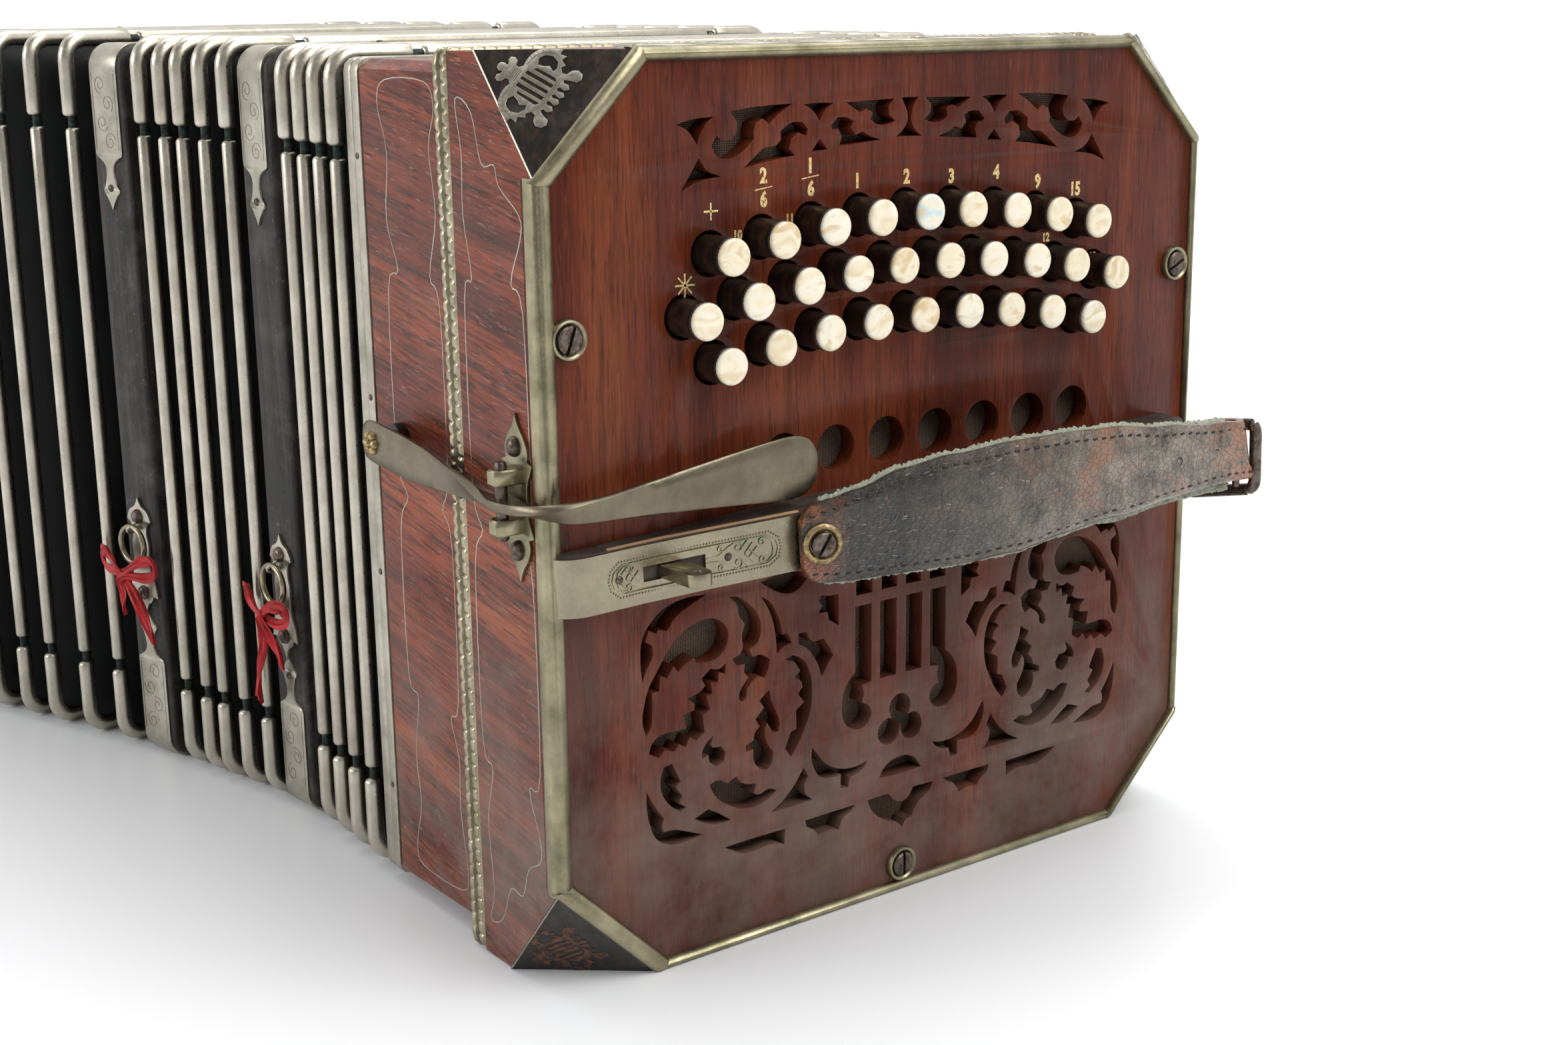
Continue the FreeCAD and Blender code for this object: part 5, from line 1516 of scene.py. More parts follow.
def strap_fleece(end):
    """Curly fleece glued inside the strap; it shows along the lower edge."""
    steps = 230
    across = 26
    rows = {True: [], False: []}
    for i in range(steps + 1):
        y = -40 + 132 * i / steps
        _, upper, lower = strap_section(y)
        show = 1.4 + 1.8 * max(0.0, min(1.0, y / 60))
        for outside in (True, False):
            row = []
            for j in range(across + 1):
                t = -1 + 2 * j / across
                reach = (upper + 0.35) if t > 0 else (lower + show)
                ragged = random.uniform(-0.5, 0.5) if abs(t) > 0.93 else 0.0
                if outside:
                    out = -0.1 + (random.uniform(0, 1.5) if reach * t < -lower else 0.0)
                else:
                    out = -2.6 - random.uniform(0, 0.9)
                if abs(t) > 0.96:
                    out = -0.8 if outside else -1.8
                row.append(strap_surface(y + random.uniform(-0.15, 0.15), reach * t + ragged, out))
            rows[outside].append(row)
    loops = [list(a) + list(reversed(b)) for a, b in zip(rows[True], rows[False])]
    fleece = end.make("strap_fleece", Shape().add(*rings(loops)), [FLEECE], "strap_leather", sharp=80)


def bar(path, radius, segments=10, closed=False):
    """A round bar along points in space."""
    loops = []
    count = len(path)
    for i, p in enumerate(path):
        before = path[i - 1] if i or closed else path[0]
        after = path[(i + 1) % count] if i + 1 < count or closed else path[-1]
        along = (Vector(after) - Vector(before)).normalized()
        helper = Vector((1, 0.02, 0.01)) if abs(along.x) < 0.9 else Vector((0, 1, 0.02))
        side = along.cross(helper).normalized()
        up = side.cross(along)
        turns = [2 * math.pi * k / segments for k in range(segments)]
        loops.append([Vector(p) + (side * math.cos(t) + up * math.sin(t)) * radius for t in turns])
    return rings(loops, closed_path=closed)


def strap_hardware(end):
    """Screw in a brass grommet at the strap's low end, and the dark steel loop at the other."""
    shape = Shape()
    at = on_strap(STRAP_LEFT + 9, 0, 3.0)
    grommet = [(5.4, -0.5), (5.5, 0.5), (5.0, 1.05), (4.3, 1.15), (3.7, 0.7), (3.5, 0.1), (0.05, 0.1)]
    shape.add(*turned(grommet, 32), paint=1, matrix=at)
    shape.join(slotted_head(3.3, 1.9, 0.9), at @ Matrix.Rotation(math.radians(60), 4, "Z"), 0)
    foot = rail_surface(97) + 0.6
    high = strap_inner(STRAP_RIGHT) + 1.6
    far = STRAP_RIGHT + FOLD_R + 2.9
    rise = RAIL_Z + LOOP_RISE
    corners = [
        Vector((foot, 100.5, rise - 6 - LOOP_HALF)), Vector((high, far, rise - LOOP_HALF - 0.8)),
        Vector((high, far, rise + LOOP_HALF - 0.8)), Vector((foot, 100.5, rise - 6 + LOOP_HALF)),
    ]
    path = []
    for i, corner in enumerate(corners):
        before = (corners[i - 1] - corner).normalized() * 3.0
        after = (corners[(i + 1) % 4] - corner).normalized() * 3.0
        for t in (0.0, 0.25, 0.5, 0.75, 1.0):
            path.append(tilt() @ (corner + before * (1 - t) ** 2 + after * t ** 2))
    shape.add(*bar(path, 1.8, 12, True), paint=0)
    pin = Vector((high - FOLD_R, STRAP_RIGHT, rise))
    ends = [tilt() @ (pin + Vector((-0.1 * way, 0.1, way * (LOOP_HALF - 0.6)))) for way in (-1, 1)]
    shape.add(*bar(ends, 1.1, 10), paint=0)
    plate = block(rail_surface(95) - 0.2, rail_surface(95) + 1.2, 92, 101, RAIL_Z - 7, RAIL_Z + 7)
    shape.add(*plate, paint=0, matrix=tilt())
    end.make("strap_hardware", shape, [STEEL, BRASS], "steel", sharp=40)


# ---------------------------------------------------------------- buttons
def button_shape(reach):
    """Dark stem with a worn top edge and a pearl cap, along Z from the face plane."""
    stem = [
        (BUTTON_R - 0.05, -BUTTON_STEM), (BUTTON_R - 0.05, reach - 2.4), (BUTTON_R + 0.02, reach - 1.75),
        (BUTTON_R - 0.25, reach - 1.5), (0.05, reach - 1.5),
    ]
    cap = [
        (BUTTON_R - 0.55, reach - 1.6), (BUTTON_R - 0.28, reach - 1.5), (BUTTON_R - 0.12, reach - 1.1),
        (BUTTON_R - 0.12, reach - 0.55), (BUTTON_R - 0.35, reach - 0.18), (BUTTON_R - 0.9, reach),
        (2.4, reach + 0.10), (0.05, reach + 0.14),
    ]
    return Shape().add(*turned(stem, 26)).add(*turned(cap, 26), paint=1)


BLUE_BUTTON = ("a", 4)    # its cap is bluer than the rest


def buttons(end, rows):
    pearls = (PEARL, PEARL, PEARL_WARM)
    for row, count, middle_y, middle_z, reach in rows:
        for i, (y, z) in enumerate(row_places(count, middle_y, middle_z)):
            cap = pearls[random.randrange(3)]
            name = body = "%s_button_%s%02d" % (end.name, row, i + 1)
            if end.name == "bass":
                body = "bass_button_row_" + row
            elif (row, i) == BLUE_BUTTON:
                cap = PEARL_BLUE
            stands_for = (body,) if end.name == "treble" or i == 0 else ()
            at = FACE_PLANE @ Matrix.Translation((y, z, 0))
            shape = Shape().join(button_shape(reach + random.uniform(-0.5, 0.3)), at)
            piece(name + "_pearl", shape, [STEM, cap], body, end.place, "button", stands_for, sharp=50)


# ---------------------------------------------------------------- air lever
def path_way(path, i):
    """Direction of a path of (x, y, z, ...) rows at one of its rows."""
    before = Vector(path[max(i - 1, 0)][:3])
    after = Vector(path[min(i + 1, len(path) - 1)][:3])
    return (after - before).normalized()


def air_lever(end):
    """Forged bar: upright along the side, flat at its pin, and upright again as a paddle over the face."""
    pin_x, pin_y = LEVER_PIN
    # Each row: x, y, z, height, thickness, and how far the bar lies flat (0 upright, 1 flat).
    stations = [
        (-83.6, pin_y, 136.3, 4.2, 1.5, 0.0), (-82.6, pin_y, 136.3, 8.4, 1.8, 0.0),
        (-80.5, pin_y, 136.2, 11.0, 2.0, 0.0), (-72, pin_y, 135.6, 11.4, 2.0, 0.0),
        (-60, pin_y, 134.6, 11.2, 2.0, 0.0), (-50, pin_y, 133.9, 9.8, 2.0, 0.0),
        (-40, pin_y, 133.0, 7.6, 2.1, 0.05), (-30, pin_y, 132.3, 6.3, 2.3, 0.25),
        (-22, pin_y, 131.8, 5.8, 2.5, 0.6), (-15, pin_y, 131.5, 6.4, 2.6, 1.0),
        (pin_x, pin_y, 131.4, 7.4, 2.6, 1.0), (-7, pin_y, 131.4, 6.4, 2.6, 1.0),
        (-2, pin_y + 0.1, 131.4, 5.6, 2.6, 0.9), (3.0, pin_y + 2.0, 131.4, 5.4, 2.5, 0.7),
        (6.6, pin_y + 5.8, 131.4, 5.6, 2.4, 0.45), (8.4, pin_y + 11, 131.4, 6.0, 2.3, 0.22),
        (8.9, pin_y + 18, 131.5, 6.6, 2.2, 0.08), (9.0, pin_y + 28, 131.9, 8.2, 2.0, 0.0),
        (9.0, pin_y + 42, 132.5, 10.8, 1.9, 0.0), (9.0, pin_y + 56, 133.0, 13.6, 1.8, 0.0),
        (8.9, pin_y + 66, 133.2, 15.6, 1.7, 0.0), (8.8, pin_y + 74, 133.3, 16.6, 1.6, 0.0),
        (8.7, pin_y + 78.5, 133.3, 15.2, 1.5, 0.0), (8.7, pin_y + 81.3, 133.3, 11.6, 1.3, 0.0),
        (8.7, pin_y + 82.8, 133.3, 6.4, 1.0, 0.0), (8.7, pin_y + 83.2, 133.3, 2.0, 0.7, 0.0),
    ]
    path = smooth(stations, 4)
    loops = []
    for i, row in enumerate(path):
        here = Vector(row[:3])
        along = path_way(path, i)
        upright = Vector((0, 0, 1))
        level = along.cross(upright).normalized()
        angle = row[5] * math.pi / 2
        wide = upright * math.cos(angle) + level * math.sin(angle)
        thin = along.cross(wide).normalized()
        half_w, half_t = max(row[3], 0.2) / 2, max(row[4], 0.2) / 2
        lower = [(-1, -0.45), (-0.9, -0.92), (-0.45, -1.0), (0.45, -1.0), (0.9, -0.92), (1, -0.45)]
        section = lower + [(-a, -b) for a, b in lower]
        loops.append([here + wide * half_w * a + thin * half_t * b for a, b in section])
    shape = Shape().add(*rings(loops))
    at = plane((LEVER_STUD_X, pin_y - 1.0, 136.0), (1, 0, 0), (0, 0, 1))
    for i in range(6):
        angle = math.pi / 3 * i
        petal, faces = dome(1.35, 1.5, 12, 4)
        petal = [Vector(p) + Vector((2.1 * math.cos(angle), 2.1 * math.sin(angle), 0)) for p in petal]
        shape.add(petal, faces, 1, at)
    shape.add(*dome(1.5, 2.3, 14, 4), paint=1, matrix=at)
    pad = plane((LEVER_STUD_X, pin_y + 1.0, 136.0), (-1, 0, 0), (0, 0, 1))
    depth = -CASE_HALF - 0.15 - pin_y - 1.0
    cushion = [(2.4, -0.4), (2.4, depth - 2.6), (4.4, depth - 2.6), (4.4, depth), (0.05, depth)]
    shape.add(*turned(cushion, 24), paint=2, matrix=pad)
    piece(
        "air_lever_forged", shape, [NICKEL_LEVER, BRASS, EBONY], "air_lever", end.place, "nickel_silver",
        ("air_lever",), sharp=45
    )


def bracket(end):
    """Spade-ended plate on the lid's side, two squared lugs, their pin, and two domed screws."""
    pin_x, pin_y = LEVER_PIN
    half = [
        (0, 21.5), (1.3, 18.6), (4.0, 15.2), (5.3, 12.4), (4.9, 9.9), (7.2, 9.2), (6.0, 6.6), (4.9, 4.2),
        (4.7, 0),
    ]
    outline = half + [(x, -z) for x, z in reversed(half[:-1])]
    outline += [(-x, -z) for x, z in half[1:]] + [(-x, z) for x, z in reversed(half[1:-1])]
    wall = -(HALF - TRIM)
    at = plane((pin_x, wall - 0.95, LEVER_Z), (1, 0, 0), (0, 0, 1))
    shape = Shape().add(*cut_plate([outline], 1.0, 0.2, 3), matrix=at)
    screw = [(2.6, -0.3), (2.65, 0.5), (2.2, 1.5), (1.3, 2.0), (0.05, 2.2)]
    for z in (13.2, -13.2):
        shape.add(*turned(screw, 22, 0.78), paint=1, matrix=at @ Matrix.Translation((0, z, 0)))
    for low in (LEVER_Z - 8.4, LEVER_Z + 4.2):
        rows = []
        for z, grow in ((low, -0.35), (low + 0.4, 0), (low + 3.6, 0), (low + 4.0, -0.35)):
            r = 2.9 + grow
            side = [(r, wall - 0.2), (r, pin_y - 1.2), (r * 0.55, pin_y - r)]
            across = [(-x, y) for x, y in side] + side[::-1]
            rows.append([(pin_x + x, y, z) for x, y in across])
        shape.add(*rings(rows))
    pin = [(1.1, LEVER_Z - 10), (1.6, LEVER_Z - 9.4), (1.6, LEVER_Z + 9.4), (1.1, LEVER_Z + 10)]
    shape.add(*turned(pin, 18), paint=1, matrix=Matrix.Translation((pin_x, pin_y, 0)))
    piece(
        "air_lever_bracket_plate", shape, [NICKEL_EDGE, STEEL], end.body, end.place, "nickel_silver",
        ("air_lever_bracket",), sharp=40
    )


# ---------------------------------------------------------------- bellows frames
SPADE = (
    (0, 0.1), (1.6, 0.9), (3.4, 2.2), (4.9, 3.3), (5.6, 4.5), (6.4, 4.2), (7.3, 3.2), (9.0, 2.5),
    (11.0, 1.9), (13.0, 1.8), (14.6, 2.6), (15.8, 4.2), (16.6, 6.2), (17.2, 7.0),
)


def corner_strap(outline, corner, shape):
    """Engraved strap wrapped round a corner of the frame, with a spade at both ends."""
    middle = outline.corner(corner)
    reach = 50.0
    lengths = outline.stops(middle - reach, middle + reach, 0.9, 1.3)
    loops = []
    for length in lengths:
        from_tip = reach - abs(length - middle)
        half = lerp(SPADE, from_tip)
        y, z, out_y, out_z = outline.at(length)
        section = (
            (-half, -0.3), (-half, 0.55), (-half * 0.93, 0.75), (half * 0.93, 0.75), (half, 0.55),
            (half, -0.3)
        )
        loops.append([(x, y + out_y * h, z + out_z * h) for x, h in section])
    shape.add(*rings(loops))

    def lay(points, faces, paint):
        placed = []
        for along, across, rise in points:
            y, z, out_y, out_z = outline.at(middle + along)
            placed.append((across, y + out_y * rise, z + out_z * rise))
        shape.add(placed, faces, paint)

    for side in (-1, 1):
        for edge in (-5.9, 5.9):
            run = [(side * (7 + i * 2.4), edge) for i in range(11)]
            lay(*line_on_plane(run, 0.28, 0.80, False, 0.0), 1)
        for i in range(4):
            way = 1 if i % 2 else -1
            centre = (side * (10.5 + i * 6.0), way * 1.7)
            curl = scroll(centre, 3.0, 1.35, 0.6 * i + (0 if side > 0 else math.pi), way * side)
            lay(*line_on_plane(curl, 0.34, 0.80, False, 0.0), 1)
        points, faces = dome(1.25, 0.8, 12, 3)
        lay([(p[0] + side * (reach - 6.8), p[1], p[2] + 0.75) for p in points], faces, 2)


RING_PLATE = [
    (0, 20.5), (1.6, 17.6), (4.6, 15.9), (6.4, 12.6), (4.6, 11.4), (3.6, 8.4), (4.4, 4.6), (4.2, 0),
    (4.6, -4.6), (6.6, -9.4), (7.4, -13.6), (4.8, -13.4), (3.6, -15.4), (2.0, -16.2), (0, -20.5),
]


def frame_fittings(letter, place):
    outline = Outline(FRAME_HALF, FRAME_LOW, FRAME_HIGH, 7.0)
    shape = Shape()
    for corner in range(4):
        corner_strap(outline, corner, shape)
    wall = -FRAME_HALF
    at = plane((0, wall - 1.2, 71.0), (1, 0, 0), (0, 0, 1))
    loop = RING_PLATE + [(-x, z) for x, z in reversed(RING_PLATE[1:-1])]
    shape.add(*cut_plate([loop], 1.2, 0.18, 3), matrix=at)
    screw = [(2.5, -0.3), (2.5, 0.3), (2.0, 1.3), (1.1, 1.75), (0.05, 1.85)]
    for z in (14.0, -12.4):
        shape.add(*turned(screw, 20), paint=2, matrix=at @ Matrix.Translation((0, z, 0)))
    eye = []
    for i in range(15):
        angle = math.radians(-205 + 230 * i / 14)
        eye.append(Vector((0, wall - EYE_OUT - 1.95 * math.cos(angle), EYE_Z + 1.95 * math.sin(angle))))
    eye = [Vector((0, wall - 0.8, EYE_Z - 1.9))] + eye[3:12] + [Vector((0, wall - 0.8, EYE_Z + 1.9))]
    shape.add(*bar(eye, 0.55, 8), paint=0)
    piece(
        "frame_%s_corner_straps" % letter, shape, [NICKEL, NICKEL_DARK, STEEL], "bellows_frame_" + letter,
        place, "nickel_silver", ("frame_%s_fittings" % letter,), sharp=40
    )


def frame_wood(letter, place):
    """Wooden ring with its outer edges rounded."""
    thick = 22
    near = [(-9.0, -thick), (-9.0, -1.3), (-8.6, -0.4), (-7.7, 0)]
    profile = near + [(-x, depth) for x, depth in reversed(near)]
    outline = Outline(FRAME_HALF, FRAME_LOW, FRAME_HIGH, 7.0)
    inner = Outline(FRAME_HALF - thick, FRAME_LOW + thick, FRAME_HIGH - thick, 3.0)
    count = 240
    rows = []
    for x, depth in profile:
        ring = []
        inside = depth == -thick
        ring = inner.ring(count) if inside else outline.ring(count, -depth)
        rows.append([(x, y, z) for y, z in ring])
    shape = Shape().add(*rings(rows, closed_path=True))
    body = "bellows_frame_" + letter
    piece(body + "_wood", shape, [BLACK_WOOD], body, place, "black_wood", (body,), sharp=50)


# ---------------------------------------------------------------- rings and ribbons
def carry_ring(letter, place, seed):
    """Split steel ring in its eye, and a red ribbon tied to it in a loose bow."""
    wall = -FRAME_HALF
    centre = Vector((0, wall - EYE_OUT, EYE_Z - RING_R))
    loops = []
    for i in range(48):
        angle = 2 * math.pi * i / 48
        out = Vector((math.cos(angle), 0, math.sin(angle)))
        ring = []
        for k in range(10):
            turn = 2 * math.pi * k / 10
            ring.append(
                centre + out * (RING_R + 1.0 * math.cos(turn)) + Vector((0, 1.05 * math.sin(turn), 0))
            )
        loops.append(ring)
    shape = Shape().add(*rings(loops, closed_path=True))
    piece(
        "carry_ring_%s_steel" % letter, shape, [NICKEL_CLEAN], "carry_ring_" + letter, place,
        "nickel_silver", ("carry_ring_" + letter,), sharp=80
    )
    ribbon(letter, place, centre, seed)


# Line of each ribbon from end to end, from the bottom of its ring: (x, y out of the frame, z), and its width.
RIBBON_A = [
    (-9, -1.5, -33, 7.5), (-7.5, -2.6, -27, 7.0), (-4.6, -3.4, -20, 6.0), (-2.0, -3.6, -13, 5.2),
    (-1.2, -3.8, -7.5, 4.2), (-1.0, -4.4, -4.0, 3.4), (1.5, -4.6, -1.6, 3.4), (5.5, -3.6, 1.0, 4.8),
    (9.6, -2.2, 0.6, 5.6), (9.9, -1.4, -3.0, 5.4), (6.0, -2.2, -4.6, 4.4), (1.4, -3.6, -3.4, 3.4),
    (-2.6, -4.2, -1.8, 3.6), (-7.4, -3.0, 2.0, 5.2), (-12.0, -1.6, 3.6, 5.8), (-13.6, -0.8, -0.4, 5.6),
    (-9.0, -1.8, -2.8, 4.8), (-3.0, -3.4, -3.2, 3.6), (0.2, -5.4, -2.2, 3.4), (1.4, -4.6, -5.4, 3.8),
    (3.2, -3.0, -9.6, 4.8), (5.2, -2.0, -14.5, 5.6), (6.4, -1.4, -19.5, 6.2),
]
RIBBON_B = [
    (11, -1.6, -26, 5.6), (9.6, -2.6, -20, 5.6), (6.8, -3.2, -14, 5.2), (3.4, -3.6, -8.5, 4.4),
    (0.6, -4.2, -4.4, 3.4), (-2.6, -4.6, -1.4, 3.6), (-7.0, -3.2, 1.6, 5.2), (-12.6, -1.6, 3.0, 6.0),
    (-15.6, -0.8, 0.2, 5.6), (-12.2, -1.6, -3.0, 5.0), (-6.0, -2.8, -3.4, 4.2), (-0.8, -4.4, -2.4, 3.4),
    (3.4, -4.0, -0.6, 3.6), (8.6, -2.6, 2.4, 5.0), (12.8, -1.4, 2.4, 5.6), (13.0, -1.0, -1.8, 5.2),
    (8.0, -2.2, -3.6, 4.6), (2.0, -4.8, -3.2, 3.6), (-0.2, -5.4, -4.8, 3.6), (-1.6, -3.4, -9.6, 4.8),
    (-3.6, -2.4, -14.0, 5.6), (-4.4, -1.8, -17.5, 6.0),
]


def ribbon(letter, place, ring_centre, seed):
    rows = RIBBON_A if letter == "a" else RIBBON_B
    foot = ring_centre + Vector((0, 0, -RING_R))
    path = smooth(rows, 5)
    loops = []
    places = [foot + Vector(row[:3]) for row in path]
    for i, row in enumerate(path):
        here = places[i] + Vector((0, -0.6, 0))
        along = path_way(places, i)
        out = Vector((0.0, -1.0, 0.0))
        side = along.cross(out).normalized()
        twist = 0.5 * math.sin(i * 0.21 + seed)
        side = (side * math.cos(twist) + out * math.sin(twist)).normalized()
        lift = side.cross(along).normalized()
        half = row[3] * 0.4
        ring = []
        for k in range(7):
            t = -1 + k / 3
            ring.append(here + side * half * t + lift * (0.9 * math.cos(t * 6.5 + i * 0.19) * half / 3))
        under = [p - lift * 0.16 for p in reversed(ring)]
        loops.append(ring + under)
    shape = Shape().add(*rings(loops))
    made = piece(
        "ribbon_%s_red" % letter, shape, [RIBBON], "carry_ring_" + letter, place, "strap_leather", sharp=80
    )


# ---------------------------------------------------------------- bellows
def smoothstep_inverse(value):
    low, high = 0.0, 1.0
    for _ in range(40):
        middle = (low + high) / 2
        if middle * middle * (3 - 2 * middle) < value:
            low = middle
        else:
            high = middle
    return low


class Section:
    """One bellows section: where it starts and ends, and the two bodies it joins."""

    def __init__(self, name, start, end, body_a, body_b, rise):
        self.name = name
        self.start = start
        self.end = end
        self.bodies = (body_a, body_b)
        self.rise = rise

    def place(self, share):
        """Matrix of the upright plane at a share of the way from start to end."""
        (front_a, back_a), (front_b, back_b) = self.start, self.end
        front = front_a.lerp(front_b, share)
        back = back_a.lerp(back_b, share)
        along = (back - front).normalized()
        upright = Matrix(((0, 1, 0, 0), (0, 0, 1, 0), (1, 0, 0, 0), (0, 0, 0, 1)))
        return plane((front + back) / 2, along, (0, 0, 1)) @ upright

    def lay(self, share, ring):
        """Points (y, z) put on the plane at a share."""
        at = self.place(share)
        return [at @ Vector((0, y, z)) for y, z in ring]

    def ends_for(self, share):
        """Start and end, in metres, of a stretch along the section round the fold at this share."""
        s = smoothstep_inverse(share)
        here = self.place(share)
        middle = here.translation
        ahead = self.place(min(1.0, share + 0.02)).translation
        behind = self.place(max(0.0, share - 0.02)).translation
        total = (self.place(1.0).translation - self.place(0.0).translation).length
        way = (ahead - behind).normalized()
        span = 6 * s * (1 - s) * total
        start = middle - way * s * span
        return start * MM, (start + way * span) * MM


def card_fold(section, outline, inner, shares):
    """One fold of card: in from the valley to the ridge and back, as a thin closed sheet."""
    valley_a, ridge, valley_b = shares
    rows = []
    for share, walk, skin in (
        (valley_a, inner, 0.0), (ridge, outline, 0.0), (valley_b, inner, 0.0),
        (valley_b, inner, 1.0), (ridge, outline, 1.6), (valley_a, inner, 1.0),
    ):
        rows.append(section.lay(share, walk.ring(180, skin)))
    return rings(rows, closed_path=True)


def valley_tape(section, high, valley, reach):
    """Cloth tape glued inside a valley, which keeps the bellows closed where two folds meet."""
    rows = []
    for share, depth in (
        (valley - reach, 1.2), (valley + reach, 1.2), (valley + reach, 2.0), (valley - reach, 2.0),
    ):
        inset = FOLD_DEPTH + depth
        walk = Outline(BELLOWS_HALF - inset, BELLOWS_LOW + inset, high - inset, 2.5)
        rows.append(section.lay(share, walk.ring(120)))
    return rings(rows, closed_path=True)


def channel(at, outline, start, stop, width, depth, step, blunt=1.4):
    """Half-round metal strip along part of the outline, with rounded ends."""
    lengths = outline.stops(start, stop, step, 1.5)
    marks = sorted(set(
        [start, start + blunt * 0.12, start + blunt * 0.5, start + blunt]
        + [length for length in lengths if start + blunt < length < stop - blunt]
        + [stop - blunt, stop - blunt * 0.5, stop - blunt * 0.12, stop]
    ))
    loops = []
    for length in marks:
        near = min(length - start, stop - length) / blunt
        size = 1.0 if near >= 1 else 0.25 + 0.75 * math.sqrt(max(0.0, 1 - (1 - near) ** 2))
        y, z, out_y, out_z = outline.at(length)
        ring = []
        for k in range(9):
            angle = math.pi * k / 8
            x = width / 2 * math.cos(angle) * size
            h = (depth * math.sin(angle) - 0.4) * size
            ring.append(at @ Vector((x, y + out_y * h, z + out_z * h)))
        for x in (-0.7, 0.7):
            ring.append(at @ Vector((x * width / 2 * size, y - out_y * 1.6, z - out_z * 1.6)))
        loops.append(ring)
    return rings(loops)


def bellows(section):
    count = FOLDS[section.name]
    high = BELLOWS_HIGH + section.rise
    outline = Outline(BELLOWS_HALF, BELLOWS_LOW, high, FOLD_CORNER)
    inner = Outline(BELLOWS_HALF - FOLD_DEPTH, BELLOWS_LOW + FOLD_DEPTH, high - FOLD_DEPTH, 3.0)
    unit = 1 / (count + 0.5)
    body_a, body_b = section.bodies
    for k in range(count):
        jitter = random.uniform(-0.10, 0.10) * unit
        ridge = (k + 0.75) * unit + jitter
        valleys = (k + 0.25) * unit, (k + 1.25) * unit
        blend_start, blend_end = section.ends_for(ridge)
        card = Shape().add(*card_fold(section, outline, inner, (valleys[0], ridge, valleys[1])))
        for valley in valleys if k == 0 else valleys[1:]:
            card.add(*valley_tape(section, high, valley, TAPE_SHARE * unit))
        fold_name = "%s_fold_%d" % (section.name, k + 1)
        stands_for = ("bellows_%s_section" % section.name,) if k == 0 else ()
        card_piece = piece(
            fold_name + "_card", card, [CARD], None, None, "bellows_card", stands_for, sharp=25, ride=False
        )
        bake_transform(card_piece)
        at = section.place(ridge)
        metal = Shape()
        leg = 23.0            # half the length of a corner cap
        for corner in range(4):
            middle = outline.corner(corner)
            metal.add(*channel(at, outline, middle - leg, middle + leg, 5.0, 3.4, 8.0))
            after = outline.corner((corner + 1) % 4)
            if after < middle:
                after += outline.length
            metal.add(*channel(at, outline, middle + leg + 3.2, after - leg - 3.2, 4.3, 2.9, 40.0))
            for neck in (middle + leg - 0.5, middle - leg - 3.7):
                metal.add(*channel(at, outline, neck, neck + 4.2, 2.6, 1.7, 3.0, 0.4), paint=1)
        metals = [STRIP_METAL, VERDIGRIS]
        metal_piece = piece(
            fold_name + "_strips", metal, metals, None, None, "nickel_silver", sharp=50, ride=False
        )
        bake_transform(metal_piece)
    gussets = (("inner", 0.0, 0.25 * unit, body_a), ("outer", 1 - 0.25 * unit, 1.0, body_b))
    for tag, low_share, high_share, body in gussets:
        rows = []
        for share, skin in ((low_share, 0), (high_share, 0), (high_share, 1.2), (low_share, 1.2)):
            depth = FOLD_DEPTH * (0.55 if share in (0.0, 1.0) else 1.0)
            walk = Outline(BELLOWS_HALF - depth, BELLOWS_LOW + depth, high - depth, 3.0)
            rows.append(section.lay(share, walk.ring(120, skin)))
        gusset = Shape().add(*rings(rows, closed_path=True))
        piece("%s_gusset_%s" % (section.name, tag), gusset, [CARD], body, slot="bellows_card", sharp=25)


def edge_line(place, local_x):
    front = place @ Vector((local_x, -BELLOWS_HALF, 0))
    back = place @ Vector((local_x, BELLOWS_HALF, 0))
    return front, back


# ---------------------------------------------------------------- the whole instrument
def build_end(end, rows):
    face_board(end, rows)
    lid_walls(end)
    reed_case(end)
    nickel_bands(end)
    top_discs(end)
    edging(end)
    corner_plates(end)
    face_screws(end)
    wire_inlays(end)
    cloth_lining(end)
    hand_rail(end)
    rail_plate(end)
    hand_strap(end)
    strap_stitching(end)
    strap_fleece(end)
    strap_hardware(end)
    buttons(end, rows)


treble = End("treble", TREBLE, "treble_end", WOOD_FACE, WOOD_SIDE)
bass = End("bass", BASS, "bass_end", WOOD_BASS_FACE, WOOD_BASS_SIDE)
build_end(treble, TREBLE_ROWS)
build_end(bass, BASS_ROWS)
figures(treble)
strap_adjuster(treble)
air_lever(treble)
bracket(treble)

for letter, place, seed in (("a", PLACE_A, 0.4), ("b", PLACE_B, 2.0)):
    frame_wood(letter, place)
    frame_fittings(letter, place)
    carry_ring(letter, place, seed)

RIM_IN_PART = Matrix.Translation((FACE_X + END_FRAME[0], 0, 0))
BASS_RIM_PLACE = turned_place(BASS_RIM, (0, -FRAME_HALF, 0))
bodies = ("treble_end", "bellows_frame_a", "bellows_frame_b", "bass_end")
starts = (edge_line(RIM_IN_PART, -0.3), edge_line(PLACE_A, -9.3), edge_line(PLACE_B, -9.3))
stops = (edge_line(PLACE_A, 9.3), edge_line(PLACE_B, 9.3), edge_line(BASS_RIM_PLACE, 0.3))
for k, (name, rise) in enumerate((("treble", -1.0), ("middle", 0.6), ("bass", 1.8))):
    bellows(Section(name, starts[k], stops[k], bodies[k], bodies[k + 1], rise))

for node in ("treble_action", "treble_reed_pan", "bass_works"):
    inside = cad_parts[node]
    inside.data.materials.clear()
    inside.data.materials.append(SPRUCE)


# ---------------------------------------------------------------- camera, floor and light
CAMERA_AT = Vector((467.0, -371.4, 251.8))
AZIMUTH = 52.15
ELEVATION = 14.15
ROLL = -0.40
FOCAL = 47.93


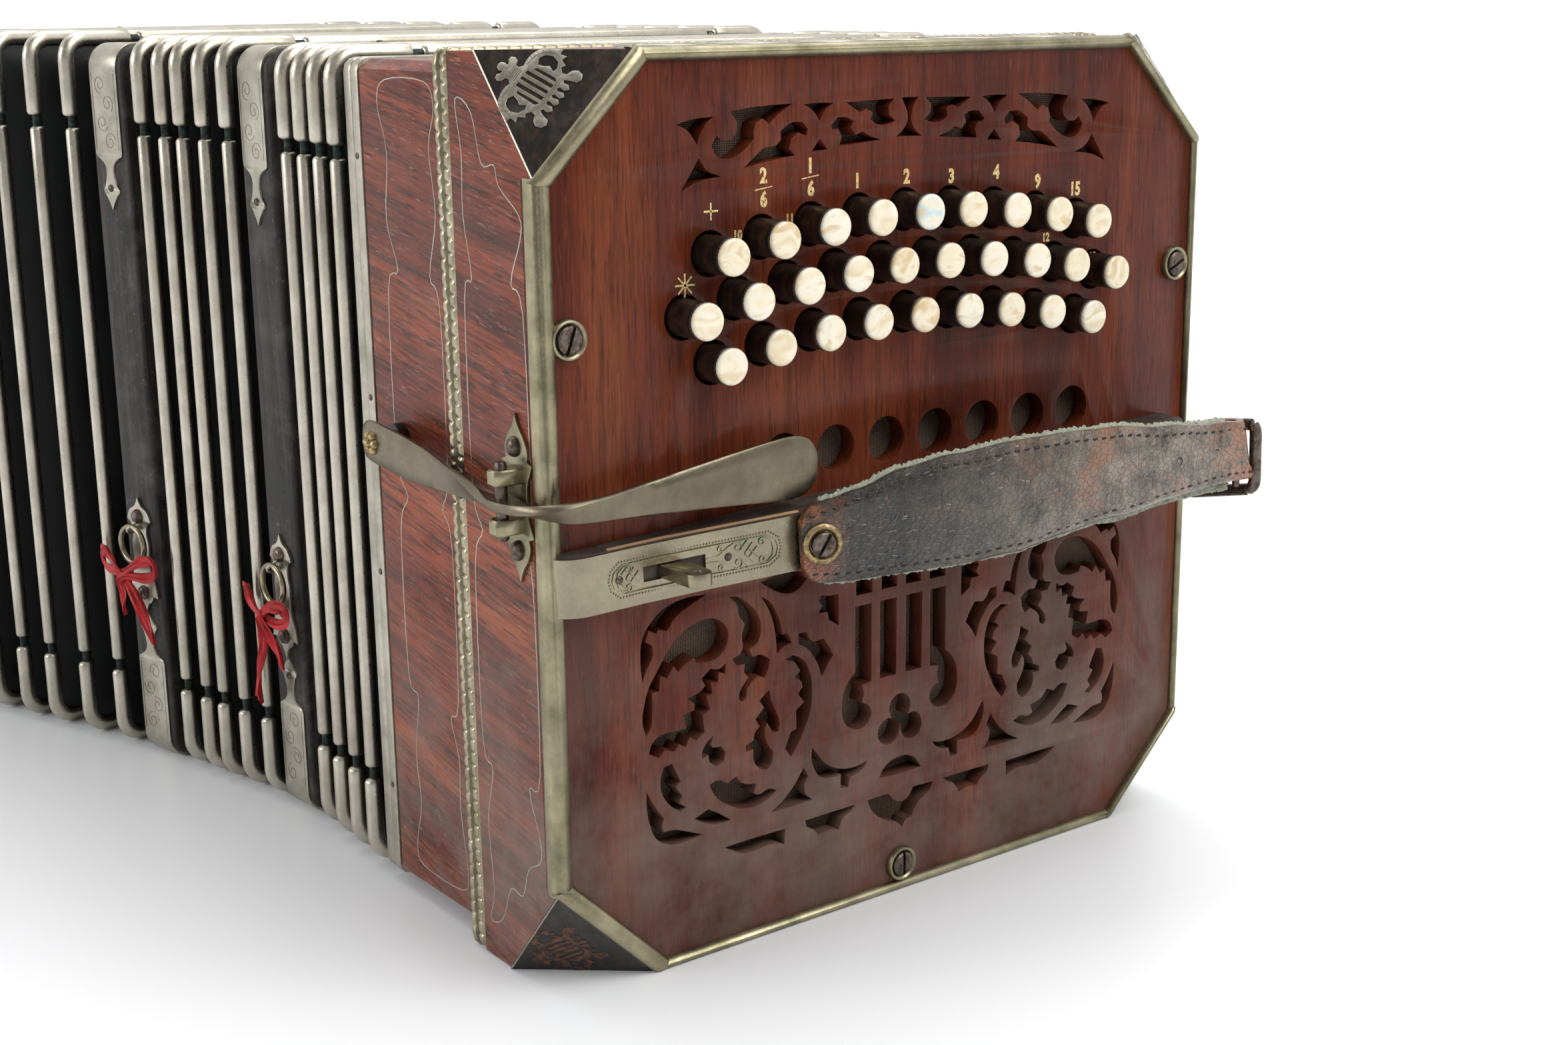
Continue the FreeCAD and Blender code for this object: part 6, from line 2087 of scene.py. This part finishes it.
def camera():
    """Long-side view from in front of the treble face's left edge, at the height of its top."""
    azimuth, elevation, roll = (math.radians(turn) for turn in (AZIMUTH, ELEVATION, ROLL))
    level = math.cos(elevation)
    back = Vector((math.sin(azimuth) * level, -math.cos(azimuth) * level, math.sin(elevation)))
    right = Vector((math.cos(azimuth), math.sin(azimuth), 0))
    up = back.cross(right)
    turned_right = right * math.cos(roll) + up * math.sin(roll)
    turned_up = up * math.cos(roll) - right * math.sin(roll)
    data = bpy.data.cameras.new("camera")
    data.sensor_width = 36.0
    data.lens = FOCAL
    data.clip_start = 0.01
    data.clip_end = 50.0
    made = new_object("camera", data)
    turn = Matrix((turned_right, turned_up, back)).transposed().to_4x4()
    made.matrix_world = Matrix.Translation(CAMERA_AT * MM) @ turn
    bpy.context.scene.camera = made


def area_light(name, at, aim, size, power, colour=(1, 1, 1)):
    data = bpy.data.lights.new(name, "AREA")
    data.shape = "RECTANGLE"
    data.size, data.size_y = size
    data.energy = power
    data.color = colour
    made = new_object(name, data)
    made.location = at
    made.rotation_mode = "QUATERNION"
    made.rotation_quaternion = (Vector(aim) - Vector(at)).to_track_quat("-Z", "Y")


def studio():
    floor = bpy.data.meshes.new("floor")
    reach = 9.0
    corners = [(-reach, -reach, 0), (reach, -reach, 0), (reach, reach, 0), (-reach, reach, 0)]
    floor.from_pydata(corners, [], [(0, 1, 2, 3)])
    floor.materials.append(floor_paint())
    plate = new_object("floor", floor)
    world = bpy.data.worlds.new("studio")
    world.use_nodes = True
    tree = world.node_tree
    background = tree.nodes["Background"]
    where = tree.nodes.new("ShaderNodeTexCoord")
    facing = tree.nodes.new("ShaderNodeVectorMath")
    facing.operation = "DOT_PRODUCT"
    facing.inputs[1].default_value = (0.78, -0.60, 0.15)
    room = tree.nodes.new("ShaderNodeMapRange")
    room.interpolation_type = "SMOOTHSTEP"
    for key, value in (("From Min", -0.15), ("From Max", 0.55), ("To Min", 1.06), ("To Max", 0.34)):
        room.inputs[key].default_value = value
    tree.links.new(where.outputs["Generated"], facing.inputs[0])
    tree.links.new(facing.outputs["Value"], room.inputs["Value"])
    tree.links.new(room.outputs["Result"], background.inputs["Strength"])
    background.inputs["Color"].default_value = (1.0, 1.0, 1.0, 1)
    bpy.context.scene.world = world
    target = (-0.08, 0.0, 0.12)
    area_light("key_light", (0.9, 0.35, 1.2), target, (0.9, 0.9), 13, (1.0, 0.99, 0.96))
    area_light("side_light", (-0.35, -1.5, 0.8), target, (1.2, 0.7), 12, (0.98, 0.99, 1.0))
    area_light("top_light", (-0.4, 0.3, 1.7), target, (1.6, 1.2), 16)


camera()
studio()
bpy.context.scene.view_settings.view_transform = "Standard"
